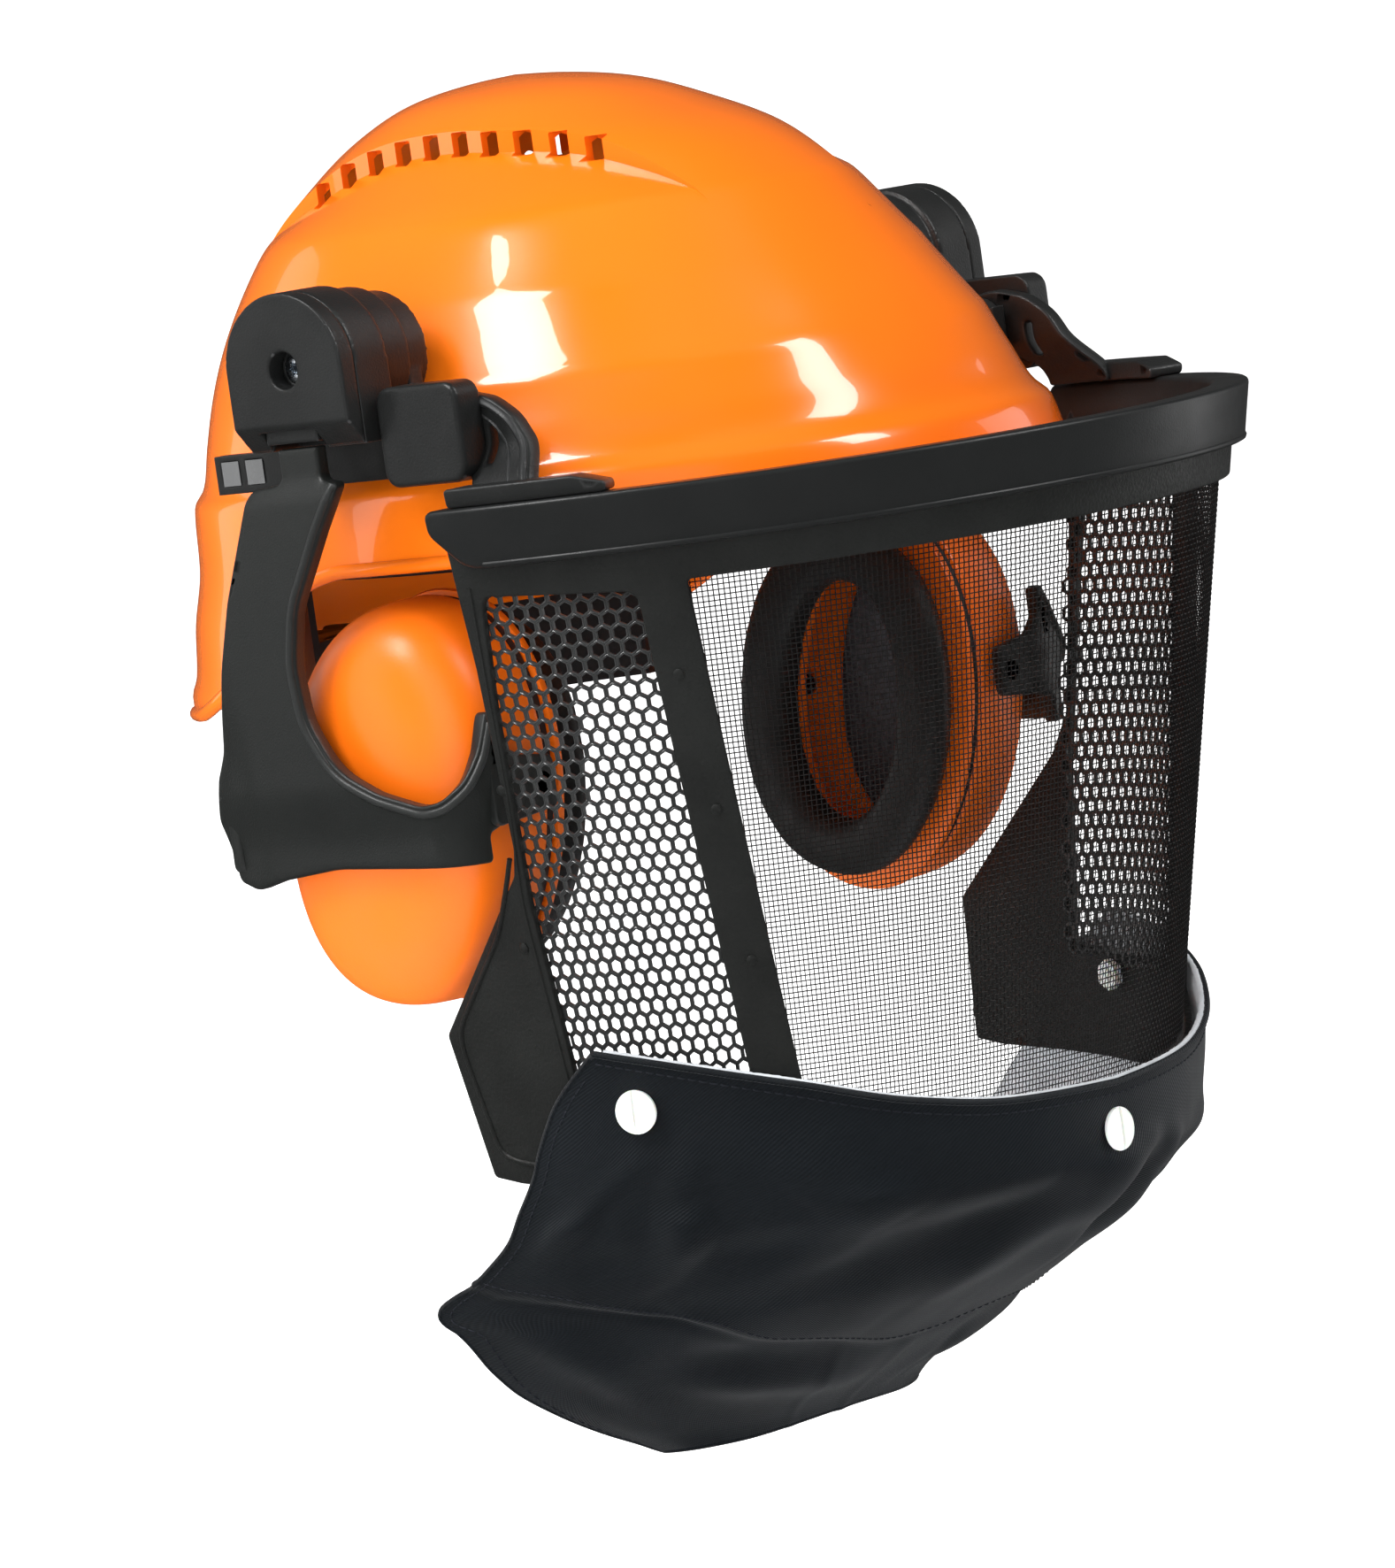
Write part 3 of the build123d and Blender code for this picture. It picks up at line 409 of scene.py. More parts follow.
# ---------------------------------------------------------------- materials
def material(name, base, rough, *, var=0.06, var_scale=14.0, rough_var=0.05, rough_scale=40.0, grain=None,
             grain_depth=0.02, coat=0.0, coat_rough=0.05, metallic=0.0, sheen=0.0, spec=0.5, edge_tint=None, wave=None,
             sss=0.0, trans=0.0, alpha=None):
    m = bpy.data.materials.new(name)
    m.use_nodes = True
    nt = m.node_tree
    b = nt.nodes["Principled BSDF"]
    b.inputs["Metallic"].default_value = metallic
    b.inputs["Coat Weight"].default_value = coat
    b.inputs["Coat Roughness"].default_value = coat_rough
    b.inputs["Specular IOR Level"].default_value = spec
    b.inputs["Sheen Weight"].default_value = sheen
    b.inputs["Sheen Roughness"].default_value = 0.4
    if sss:
        b.inputs["Subsurface Weight"].default_value = sss
        b.inputs["Subsurface Radius"].default_value = (0.6, 0.25, 0.1)
        b.inputs["Subsurface Scale"].default_value = 0.004
    if trans:
        b.inputs["Transmission Weight"].default_value = trans
    tc = nt.nodes.new("ShaderNodeTexCoord")
    n1 = nt.nodes.new("ShaderNodeTexNoise")
    n1.inputs["Scale"].default_value = var_scale
    n1.inputs["Detail"].default_value = 5
    nt.links.new(tc.outputs["Object"], n1.inputs["Vector"])
    ramp = nt.nodes.new("ShaderNodeValToRGB")
    dark = [max(0.0, c * (1 - var)) for c in base]
    light = [min(1.0, c * (1 + var)) for c in base]
    ramp.color_ramp.elements[0].position = 0.3
    ramp.color_ramp.elements[0].color = (*dark, 1)
    ramp.color_ramp.elements[1].position = 0.7
    ramp.color_ramp.elements[1].color = (*light, 1)
    nt.links.new(n1.outputs["Fac"], ramp.inputs["Fac"])
    colour = ramp.outputs["Color"]
    # lighter colour mixed in where the surface is convex, along edges and rims, set by pointiness
    if edge_tint:
        g = nt.nodes.new("ShaderNodeNewGeometry")
        wr = nt.nodes.new("ShaderNodeValToRGB")
        wr.color_ramp.elements[0].position = edge_tint[1]
        wr.color_ramp.elements[0].color = (0, 0, 0, 1)
        wr.color_ramp.elements[1].position = edge_tint[2]
        wr.color_ramp.elements[1].color = (1, 1, 1, 1)
        nt.links.new(g.outputs["Pointiness"], wr.inputs["Fac"])
        mix = nt.nodes.new("ShaderNodeMix")
        mix.data_type = "RGBA"
        nt.links.new(wr.outputs["Color"], mix.inputs["Factor"])
        nt.links.new(colour, mix.inputs["A"])
        mix.inputs["B"].default_value = (*edge_tint[0], 1)
        colour = mix.outputs["Result"]
    nt.links.new(colour, b.inputs["Base Color"])
    n2 = nt.nodes.new("ShaderNodeTexNoise")
    n2.inputs["Scale"].default_value = rough_scale
    n2.inputs["Detail"].default_value = 6
    nt.links.new(tc.outputs["Object"], n2.inputs["Vector"])
    mr = nt.nodes.new("ShaderNodeMapRange")
    mr.inputs["From Min"].default_value = 0.3
    mr.inputs["From Max"].default_value = 0.7
    mr.inputs["To Min"].default_value = max(0.02, rough - rough_var)
    mr.inputs["To Max"].default_value = min(1.0, rough + rough_var)
    nt.links.new(n2.outputs["Fac"], mr.inputs["Value"])
    nt.links.new(mr.outputs["Result"], b.inputs["Roughness"])
    height = None
    if grain:
        n3 = nt.nodes.new("ShaderNodeTexNoise")
        n3.inputs["Scale"].default_value = grain
        n3.inputs["Detail"].default_value = 3
        nt.links.new(tc.outputs["Object"], n3.inputs["Vector"])
        height = n3.outputs["Fac"]
    if wave:
        # diagonal or crossed yarns laid along the piece's own lengths
        uvm = nt.nodes.new("ShaderNodeUVMap")
        uvm.uv_map = "UVMap"
        total = None
        for (sx, sy, amp) in wave:
            w = nt.nodes.new("ShaderNodeTexWave")
            w.wave_type = "BANDS"
            w.bands_direction = "X"
            w.inputs["Scale"].default_value = 1.0
            w.inputs["Distortion"].default_value = 0.4
            w.inputs["Detail"].default_value = 1.0
            mp = nt.nodes.new("ShaderNodeMapping")
            ang = math.atan2(sy, sx)
            mp.inputs["Rotation"].default_value = (0, 0, -ang)
            k = math.hypot(sx, sy)
            mp.inputs["Scale"].default_value = (k, k, k)
            nt.links.new(uvm.outputs["UV"], mp.inputs["Vector"])
            nt.links.new(mp.outputs["Vector"], w.inputs["Vector"])
            ml = nt.nodes.new("ShaderNodeMath")
            ml.operation = "MULTIPLY"
            ml.inputs[1].default_value = amp
            nt.links.new(w.outputs["Fac"], ml.inputs[0])
            if total is None:
                total = ml.outputs[0]
            else:
                ad = nt.nodes.new("ShaderNodeMath")
                ad.operation = "ADD"
                nt.links.new(total, ad.inputs[0])
                nt.links.new(ml.outputs[0], ad.inputs[1])
                total = ad.outputs[0]
        if height is not None:
            ad = nt.nodes.new("ShaderNodeMath")
            ad.operation = "MULTIPLY_ADD"
            ad.inputs[1].default_value = 0.3
            nt.links.new(height, ad.inputs[0])
            nt.links.new(total, ad.inputs[2])
            total = ad.outputs[0]
        height = total
        # painted shade and highlight: the base colour is darkened where the yarn pattern is low and lightened where it
        # is high
        shade = nt.nodes.new("ShaderNodeMapRange")
        shade.inputs["To Min"].default_value = 0.62
        shade.inputs["To Max"].default_value = 1.35
        nt.links.new(height, shade.inputs["Value"])
        hsv = nt.nodes.new("ShaderNodeHueSaturation")
        nt.links.new(colour, hsv.inputs["Color"])
        nt.links.new(shade.outputs["Result"], hsv.inputs["Value"])
        nt.links.new(hsv.outputs["Color"], b.inputs["Base Color"])
    if height is not None:
        bump = nt.nodes.new("ShaderNodeBump")
        bump.inputs["Strength"].default_value = 1.0
        bump.inputs["Distance"].default_value = grain_depth * MM
        nt.links.new(height, bump.inputs["Height"])
        nt.links.new(bump.outputs["Normal"], b.inputs["Normal"])
        if coat:
            nt.links.new(bump.outputs["Normal"], b.inputs["Coat Normal"])
    if alpha is not None:
        b.inputs["Alpha"].default_value = alpha
    return m


ORANGE = (0.96, 0.185, 0.006)
M_SHELL = material("shell_orange", ORANGE, 0.22, var=0.02, var_scale=9, rough_var=0.03, rough_scale=22,
                   grain=60, grain_depth=0.035, coat=0.7, coat_rough=0.025, spec=0.35)
M_CUP = material("cup_orange", (0.93, 0.165, 0.005), 0.34, var=0.04, var_scale=12, rough_var=0.05, rough_scale=60,
                 grain=1400, grain_depth=0.04, spec=0.4)
M_BLACK = material("moulded_black", (0.0115, 0.0121, 0.0119), 0.42, var=0.14, var_scale=30, rough_var=0.08, rough_scale=90,
                   grain=1500, grain_depth=0.10, spec=0.42, edge_tint=((0.040, 0.041, 0.042), 0.53, 0.60))
M_FRAME = material("frame_black", (0.0110, 0.0118, 0.0110), 0.50, var=0.18, var_scale=40, rough_var=0.10, rough_scale=700,
                   grain=1100, grain_depth=0.22, spec=0.38)
M_RAIL = material("rail_black", (0.0105, 0.0112, 0.0112), 0.38, var=0.10, var_scale=18, rough_var=0.07, rough_scale=60,
                  grain=1700, grain_depth=0.05, spec=0.40)
M_ARM = material("arm_black", (0.0110, 0.0122, 0.0114), 0.42, var=0.10, var_scale=14, rough_var=0.06, rough_scale=50,
                 grain=1900, grain_depth=0.07, spec=0.5, edge_tint=((0.045, 0.047, 0.047), 0.535, 0.60))
M_CRADLE = material("cradle_black", (0.014, 0.014, 0.015), 0.5, var=0.12, grain=900, grain_depth=0.05)
M_MESH = material("mesh_black", (0.0095, 0.0090, 0.0088), 0.42, var=0.2, var_scale=60, spec=0.45)
M_GRILLE = material("grille_black", (0.026, 0.027, 0.027), 0.32, var=0.15, var_scale=60, grain=900, grain_depth=0.05,
                    spec=0.8)
M_CLOTH = material("flap_cloth", (0.0034, 0.0054, 0.0078), 0.54, var=0.14, var_scale=26, rough_var=0.07, sheen=0.09,
                   grain=500, grain_depth=0.10, wave=[(0.25, 0.23, 0.75), (-0.09, 0.30, 0.25)], spec=0.36)
M_FLEECE = material("fleece_white", (0.66, 0.69, 0.72), 0.95, var=0.10, var_scale=120, grain=900, grain_depth=0.35,
                    sheen=0.4, spec=0.2)
M_THREAD = material("thread_black", (0.010, 0.012, 0.018), 0.7, var=0.2, var_scale=300, grain=2500, grain_depth=0.05)
M_NYLON = material("white_nylon", (0.80, 0.82, 0.79), 0.33, var=0.03, var_scale=90, grain=700, grain_depth=0.03,
                   sss=0.35, spec=0.5)
M_ZINC = material("zinc_steel", (0.62, 0.66, 0.70), 0.25, var=0.10, var_scale=500, rough_var=0.1, rough_scale=900,
                  metallic=1.0, grain=1500, grain_depth=0.02)
M_CLEAR = material("clear_insert", (0.035, 0.037, 0.038), 0.07, var=0.25, var_scale=90, coat=1.0, coat_rough=0.03,
                   grain=120, grain_depth=0.05)
M_WEB = material("webbing", (0.035, 0.035, 0.038), 0.75, var=0.15, var_scale=120, sheen=0.2, grain=900,
                 grain_depth=0.08, wave=[(1.0, 0.0, 0.5), (0.0, 0.6, 0.5)])
M_TERRY = material("sweat_terry", (0.055, 0.056, 0.062), 0.92, var=0.25, var_scale=260, sheen=0.5, grain=700,
                   grain_depth=0.5)
M_CUSHION = material("cushion_black", (0.0125, 0.0130, 0.0125), 0.46, var=0.12, var_scale=60, grain=620, grain_depth=0.14,
                     spec=0.5)
M_FOAM = material("foam_grey", (0.060, 0.060, 0.066), 0.95, var=0.35, var_scale=500, grain=520, grain_depth=0.6)
M_DARK = material("groove_black", (0.016, 0.016, 0.017), 0.55, var=0.1, grain=900, grain_depth=0.05)


# ---------------------------------------------------------------- shell
SHELL_N = 2.25
ROWS = np.array([
    (-28, -117, 139.5, 110.0), (-19, -117, 139.5, 110.0), (-14, -117, 137.5, 109.0),
    (0, -117, 135.5, 108.0), (15, -117, 131.5, 106.5), (33, -113, 130.0, 105.3),
    (38, -108.3, 127.0, 101.8), (50, -101.8, 124.8, 98.0), (62, -94.5, 122.1, 93.7),
    (72, -87.9, 118.9, 89.3), (82, -80.2, 114.4, 84.2), (92, -72.4, 108.6, 78.3),
    (100, -65.6, 103.0, 72.9), (108, -57.6, 95.6, 66.3), (115, -49.4, 87.9, 59.4),
    (121, -39.8, 81.5, 52.4), (126, -28.4, 75.2, 44.8), (130, -19.5, 68.6, 38.0),
    (134, -8.8, 60.7, 30.1), (137, 4.5, 50.0, 18.5), (139, 21.2, 34.1, 5.5), (139.3, 27.6, 27.7, 0.02)], float)


def crown_drop(z):
    return 6.0 * smooth((z - 98) / 26)


def shell_profile(count):
    mean = (ROWS[:, 2] - ROWS[:, 1] + 2 * ROWS[:, 3]) / 4
    t = np.concatenate([[0], np.cumsum(np.hypot(np.diff(ROWS[:, 0]), np.diff(mean)))])
    # the lower skirt needs fewer rings than the crown
    q = np.linspace(0, t[-1], count)
    prof = np.stack([pchip(t, ROWS[:, k], q) for k in range(4)], 1)
    keep = prof.copy()
    for _ in range(int(14 * (count / 120) ** 2)):
        prof[1:-1] = (prof[:-2] + 2 * prof[1:-1] + prof[2:]) / 4
        prof[0], prof[-1] = keep[0], keep[-1]
    # the gutter stays crisp
    w = smooth((keep[:, 0] - 44) / 8)[:, None]
    prof = keep * (1 - w) + prof * w
    return prof


def ring_angles(count):
    t = 2 * math.pi * (np.arange(count) + 0.5) / count
    # even spacing along a superellipse
    tt = np.linspace(0, 2 * math.pi, 4001)
    x, y = 105 * spow(np.cos(tt), 2 / SHELL_N), 122 * spow(np.sin(tt), 2 / SHELL_N)
    s = np.concatenate([[0], np.cumsum(np.hypot(np.diff(x), np.diff(y)))])
    return np.interp((np.arange(count) + 0.5) / count * s[-1], s, tt)


def dome(count, rings, off=0.0, drop=True, lower=0.0, zmin=-30, crease=True, cut_top=False):
    prof = shell_profile(rings)
    prof = prof[prof[:, 0] >= zmin]
    ang = ring_angles(count)
    verts = []
    for z, yf, yr, ax in prof:
        cy, b, a = (yf + yr) / 2, (yr - yf) / 2, ax
        c, s = spow(np.cos(ang), 2 / SHELL_N), spow(np.sin(ang), 2 / SHELL_N)
        g = np.zeros(count)
        if crease:
            yy = cy + b * s
            front = smooth((20 - yy) / 70)
            side = smooth((np.abs(c) - 0.35) / 0.35)
            g += 1.5 * np.exp(-abs(z - 103) / 7.5) * np.clip(front + 0.5 * side, 0, 1)
            g += 0.8 * np.exp(-abs(z - 82) / 7.0) * side * smooth((80 - yy) / 40)
            g += 1.5 * np.exp(-abs(z - 60) / 7.5) * smooth((85 - yy) / 40) * smooth((np.abs(c) - 0.10) / 0.35)
        x = (max(a + off, 0.01) + g * min(1, a / 30)) * c
        y = cy + (max(b + off, 0.01) + g * min(1, b / 30)) * s
        zz = np.full(count, z - lower)
        if drop:
            zz = zz - crown_drop(z)
        verts.append(np.stack([x, y, zz], 1))
    n = len(verts)
    v = np.concatenate(verts)
    faces = []
    for i in range(n - 1):
        for k in range(count):
            m = (k + 1) % count
            faces.append((i * count + k, i * count + m, (i + 1) * count + m, (i + 1) * count + k))
    faces.append(tuple(range(count))[::-1])
    faces.append(tuple((n - 1) * count + k for k in range(count)))
    return v, faces


def prism(poly, axis, lo, hi):
    """Closed prism: poly in the two other axes (in order), extruded along axis."""
    q = np.asarray(poly, float)
    n = len(q)
    v = np.zeros((2 * n, 3))
    others = [k for k in range(3) if k != axis]
    for e, val in enumerate((lo, hi)):
        v[e * n:(e + 1) * n, others[0]] = q[:, 0]
        v[e * n:(e + 1) * n, others[1]] = q[:, 1]
        v[e * n:(e + 1) * n, axis] = val
    f = [tuple(range(n))[::-1], tuple(range(n, 2 * n))]
    f += [(i, (i + 1) % n, n + (i + 1) % n, n + i) for i in range(n)]
    return v, f


BAND = [(30, -70), (36, -25), (43, 0), (45, 65), (38, 98), (30, 104)]


def band_outline(din=0.0):
    half = [(x - din, y + (din if y < 0 else -din) * 0.8) for x, y in BAND]
    pts = half + [(-x, y) for x, y in reversed(half)]
    return fillet(pts, [1.5, 60, 60, 60, 18, 6] + [6, 18, 60, 60, 60, 1.5], 8)


def dome_z(x, y):
    lo, hi = 40.0, 139.0
    for _ in range(30):
        mid = (lo + hi) / 2
        yf, yr, ax = (float(np.interp(mid, ROWS[:, 0], ROWS[:, k])) for k in (1, 2, 3))
        c, b = (yf + yr) / 2, (yr - yf) / 2
        if (abs(x) / ax) ** SHELL_N + (abs(y - c) / b) ** SHELL_N < 1:
            lo = mid
        else:
            hi = mid
    return lo


RIM = [(-160, 14), (26, 14), (42, 8), (60, -6), (80, -18), (100, -24), (150, -25.5)]


def rim_z(y):
    ry = np.array([-160, 20, 32, 42, 52, 62, 72, 84, 100, 150], float)
    rz = np.array([14, 14, 12.2, 8, 0.4, -7.6, -14, -19.6, -23.6, -25.2], float)
    return pchip(ry, rz, np.clip(y, -159, 149))


def build_shell():
    outer = raw_object("shell_body", *dome(480, 128))
    band = raw_object("band", *dome(480, 128, drop=False, zmin=84))
    boolean(band, raw_object("cut", *prism(band_outline(), 2, 70, 160)), "INTERSECT")
    boolean(outer, band, "UNION")
    inner = raw_object("inner", *dome(240, 70, off=-2.6, lower=1.2, crease=False))
    inner_band = raw_object("ib", *dome(240, 70, off=-2.6, drop=False, lower=2.0, zmin=84, crease=False))
    boolean(inner_band, raw_object("cut", *prism(band_outline(2.6), 2, 70, 160)), "INTERSECT")
    boolean(inner, inner_band, "UNION")
    # the hollow runs on below the rim
    boolean(outer, inner, "DIFFERENCE")
    ys = np.linspace(20, 148, 40)
    low = [(-160.0, 14.0)] + [(float(y), float(rim_z(y))) for y in ys] + [(150.0, -60.0), (-160.0, -60.0)]
    boolean(outer, raw_object("rimcut", *prism(low, 0, -140, 140)), "DIFFERENCE")
    parts = []
    for side in (-1, 1):
        for i in range(10):
            y = 64.0 - 10.2 * i
            x = 45.0 if y > 40 else 43.0 + (y / 40 * 2 if y > 0 else y / 25 * 7)
            zc = dome_z(x, y) - 3.4
            v, f = prism(fillet([(-2.7, -3.4), (2.7, -3.4), (2.7, 3.3), (-2.7, 3.3)], 0.5, 3), 0, -5, 5)
            v = v * [1, 1, 1] + [side * (x + 0.4), y, zc]
            parts.append((v, f))
        v, f = prism(fillet([(-13.2, -3.2), (13.2, -3.2), (13.2, 3.2), (-13.2, 3.2)], 1.0, 3), 0, -7, 7)
        parts.append((v + [side * 100, 4, 44], f))
    boolean(outer, raw_object("vents", *join_parts(parts)), "DIFFERENCE")
    # weld crumbs of the cuts
    bm = bmesh.new()
    bm.from_mesh(outer.data)
    bmesh.ops.remove_doubles(bm, verts=bm.verts, dist=2e-5)
    bmesh.ops.dissolve_degenerate(bm, edges=bm.edges, dist=1e-6)
    loose = [v for v in bm.verts if not v.link_faces]
    bmesh.ops.delete(bm, geom=loose, context="VERTS")
    bm.to_mesh(outer.data)
    bm.free()
    outer.name = "shell_body"
    dress(outer, M_SHELL, "helmet", 30, ("shell",))
    # rolled lip along the rim and the lower edge of the neck shield
    ang = ring_angles(400)
    prof = ROWS[ROWS[:, 0] < 40]
    c, s = spow(np.cos(ang), 2 / SHELL_N), spow(np.sin(ang), 2 / SHELL_N)
    path = []
    for ci, si in zip(c, s):
        z = 14.0
        for _ in range(6):
            yf, yr, ax = (float(np.interp(z, prof[:, 0], prof[:, k])) for k in (1, 2, 3))
            cy, b = (yf + yr) / 2, (yr - yf) / 2
            y = cy + (b - 0.5) * si
            z = float(rim_z(y))
        path.append(((ax - 0.4) * ci, y, z + 0.6))
    v, f = tube(path, 2.0, 12, closed=True)
    lip = mesh_object("shell_lip", v, f, M_SHELL, "helmet", "shell_orange", None)
    fix_normals(lip)
    # peak: a thin brim that runs out under the visor's top rail
    t = np.linspace(0, 2 * math.pi, 361)[:-1]
    o = np.stack([104 * spow(np.cos(t), 2 / 2.1), -11 + 139 * spow(np.sin(t), 2 / 2.1)], 1)
    i_ = np.stack([103 * spow(np.cos(t), 2 / SHELL_N), 7 + 120.5 * spow(np.sin(t), 2 / SHELL_N)], 1)
    o, i_ = o[o[:, 1] < -26], i_[i_[:, 1] < -26]
    o = o[np.argsort(o[:, 0])]
    i_ = i_[np.argsort(-i_[:, 0])]
    crescent = np.concatenate([o, i_])

    def brim(p, h):
        sag = -0.0006 * (p[:, 0] ** 2) * smooth((-100 - p[:, 1]) / 50)
        return np.stack([p[:, 0], p[:, 1], h + sag], 1)

    v, f = plate(crescent, [], 14.2, 17.4, 1.1, 6, brim, step=3)
    pk = mesh_object("shell_peak", v, f, M_SHELL, "helmet", "shell_orange", 50)
    fix_normals(pk)


build_shell()

# ---------------------------------------------------------------- visor surface
R0 = 125.0
YC = -32.0
HALF = R0 * math.pi / 2


def va(z):
    return 135 - 0.17 * (15 - z)


def vb(z):
    return 135 - 0.222 * (15 - z)


def visor_map(p, h):
    u, z = p[:, 0], p[:, 1]
    phi = np.clip(u / R0, -math.pi / 2, math.pi / 2)
    ext = np.maximum(np.abs(u) - HALF, 0)
    return np.stack([(va(z) + h) * np.sin(phi), YC - (vb(z) + h) * np.cos(phi) + ext, z], 1)


def to_u(y, z):
    y, z = np.asarray(y, float), np.asarray(z, float)
    phi = np.arccos(np.clip((YC - y) / vb(z), 0, 1))
    return R0 * phi + np.maximum(y - YC, 0)


def side_outline(pts, side):
    q = densify(pts, 2.5)
    return np.stack([side * to_u(q[:, 0], q[:, 1]), q[:, 1]], 1)


def front_half(pts):
    """Open run of (y, z) points on the right side, ending at the front centre, as (u, z)."""
    q = densify(pts, 2.5, closed=False)
    return np.stack([-to_u(q[:, 0], q[:, 1]), q[:, 1]], 1)


SIDE = [(-43.5, 24), (-43, -12), (-41.2, -40), (-39.8, -61), (-37.6, -68.5), (0.2, -111), (-3.4, -151), (-12.4, -153), (-60, -158)]
WINDOW = [(-50.5, 7), (-92, 4), (-86.5, -130), (-40.5, -126), (-40.5, -76), (-45.8, -23)]
half = front_half(SIDE)
outer_loop = np.concatenate([half, [(-80, -162.5), (0, -166.6), (80, -162.5)], (half * [-1, 1])[::-1]])
outer_loop = fillet(outer_loop[np.concatenate([[True], np.linalg.norm(np.diff(outer_loop, axis=0), axis=1) > 0.3])],
                    4.0, 4)
fw = front_half([(-104.0, 5.4), (-96.5, -136), (-112, -146)])
front_loop = np.concatenate([fw, [(0, -148.5)], (fw * [-1, 1])[::-1]])
front_loop = fillet(front_loop[np.concatenate([[True], np.linalg.norm(np.diff(front_loop, axis=0), axis=1) > 0.3])],
                    5.0, 4)
side_loops = [side_outline(fillet(WINDOW, 3.5, 5), s) for s in (-1, 1)]
v, f = plate(outer_loop, [front_loop] + side_loops, -2.4, 0.0, 0.55, 5.0, visor_map, step=2.5)
parts = [(v, f)]
# raised border line on the low rear wings and heat stakes on the posts
for s in (-1, 1):
    line = np.array([(-37.9, -63.5), (-34.9, -69.9), (-27.4, -83.9), (-4.9, -109.3), (-4.2, -115.7), (-7.9, -144.5),
                     (-14.8, -147.2), (-44, -150.5)], float)
    rounded = densify(line, 1.5, closed=False)
    for _ in range(6):
        rounded[1:-1] = (rounded[:-2] + 2 * rounded[1:-1] + rounded[2:]) / 4
    u = s * to_u(rounded[:, 0], rounded[:, 1])
    parts.append(tube(visor_map(np.stack([u, rounded[:, 1]], 1), np.full(len(u), 0.0)), 0.7, 8))
    line = np.array([(-47.8, 9.5), (-44.6, -23), (-42.2, -50), (-38.3, -76), (-38.2, -129)], float)
    rounded = densify(line, 2, closed=False)
    for _ in range(8):
        rounded[1:-1] = (rounded[:-2] + 2 * rounded[1:-1] + rounded[2:]) / 4
    u = s * to_u(rounded[:, 0], rounded[:, 1])
    parts.append(tube(visor_map(np.stack([u, rounded[:, 1]], 1), np.full(len(u), 0.0)), 0.45, 6))
    for (y, z) in ((-96.3, -19.2), (-96, -56), (-94, -97.3), (-41.2, -45.0), (-35, -88), (-33, -132.9)):
        t = np.linspace(0, 2 * math.pi, 17)[:-1]
        cu = s * float(to_u(y, z))
        rings = []
        for r, h in ((1.5, -0.3), (1.5, 0.35), (1.1, 0.62), (0.5, 0.72)):
            rings.append(visor_map(np.stack([cu + r * np.cos(t), z + r * np.sin(t)], 1), np.full(16, h)))
        vv = np.concatenate(rings)
        ff = [(k * 16 + i, k * 16 + (i + 1) % 16, (k + 1) * 16 + (i + 1) % 16, (k + 1) * 16 + i)
              for k in range(3) for i in range(16)] + [tuple(48 + i for i in range(16)), tuple(range(16))[::-1]]
        parts.append((vv, ff))
ob = mesh_object("visor_frame_moulded", *join_parts(parts), M_FRAME, "visor", "moulded_black", 40, ("visor_frame",))
fix_normals(ob)
ob.data.set_sharp_from_angle(angle=math.radians(40))

# top rail
yo = float(to_u(-41, 22))
rail = fillet([(-yo, 31), (-yo, 24.5), (-yo + 9, 14.6), (yo - 9, 14.6), (yo, 24.5), (yo, 31)],
              [2.5, 5, 9, 9, 5, 2.5], 6)
v, f = plate(rail, [], -7.0, 3.5, 1.5, 6.0, visor_map, step=2.5, arc=4)
# thin bead along the rail's lower edge
us = np.linspace(-yo + 14, yo - 14, 200)
bead = tube(visor_map(np.stack([us, np.full(200, 15.6)], 1), np.full(200, 3.0)), 0.95, 8)
ob = mesh_object("visor_rail_moulded", *join_parts([(v, f), bead]), M_RAIL, "visor", "rail_black", 50, ("visor_rail",))
fix_normals(ob)

# rail foot blocks
foot_parts = []
for s in (-1, 1):
    ub, uf = float(to_u(-48, 33)), float(to_u(-92, 33))
    base = fillet([(s * ub, 31.0), (s * uf, 31.0), (s * uf, 33.8), (s * (uf + 8), 36.2), (s * ub, 36.2)], 1.2, 4)
    foot_parts.append(plate(base, [], -9.0, 1.6, 0.8, 6, visor_map, step=2.0))
    top = fillet([(s * (ub - 1), 35.6), (s * (uf + 16), 35.6), (s * (uf + 17), 38.4), (s * (ub - 1), 40.2)], 1.2, 4)
    foot_parts.append(plate(top, [], -9.0, -2.0, 0.8, 6, visor_map, step=2.0))


# visor arms: curved plate that flares out to the foot
def arm_map(p, h):
    flare = 9.5 * smooth((47 - p[:, 1]) / 15)
    return np.stack([-(h + flare), p[:, 0], p[:, 1]], 1)


ARM = [(-27, 41), (-26.5, 58), (-38.8, 60.4), (-49.7, 58.0), (-57.2, 52.8), (-61.6, 45.5), (-66.0, 37.5), (-69, 31.2),
       (-47.5, 31.2), (-46.5, 37), (-42, 40.5)]
outline = fillet(ARM, [1, 2, 14, 14, 14, 12, 10, 1, 1, 3, 3], 6)
slot_hole = fillet([(-51.2, 40.5), (-48.8, 40.5), (-48.8, 50.5), (-51.2, 50.5)], 0.8, 3)
av = plate(outline, [slot_hole], 113.0, 118.0, 0.9, 2.2, arm_map, step=1.2)
edge = densify(np.array([(-40, 58.6), (-49.3, 56.3), (-55.9, 51.8), (-60.1, 45.0), (-64.4, 37.2), (-66.6, 32.5)], float), 1.0,
               closed=False)
for _ in range(8):
    edge[1:-1] = (edge[:-2] + 2 * edge[1:-1] + edge[2:]) / 4
bead = tube(arm_map(edge, np.full(len(edge), 117.9)), 1.15, 8)
inner_edge = edge + np.array([4.6, -1.4])
bead2 = tube(arm_map(inner_edge, np.full(len(edge), 117.7)), 0.6, 8)
right = join_parts([av, bead, bead2, foot_parts[0]])
ob = mesh_object("visor_arm_right_moulded", *right, M_BLACK, "visor", "moulded_black", 45, ("visor_arm_right",))
fix_normals(ob)
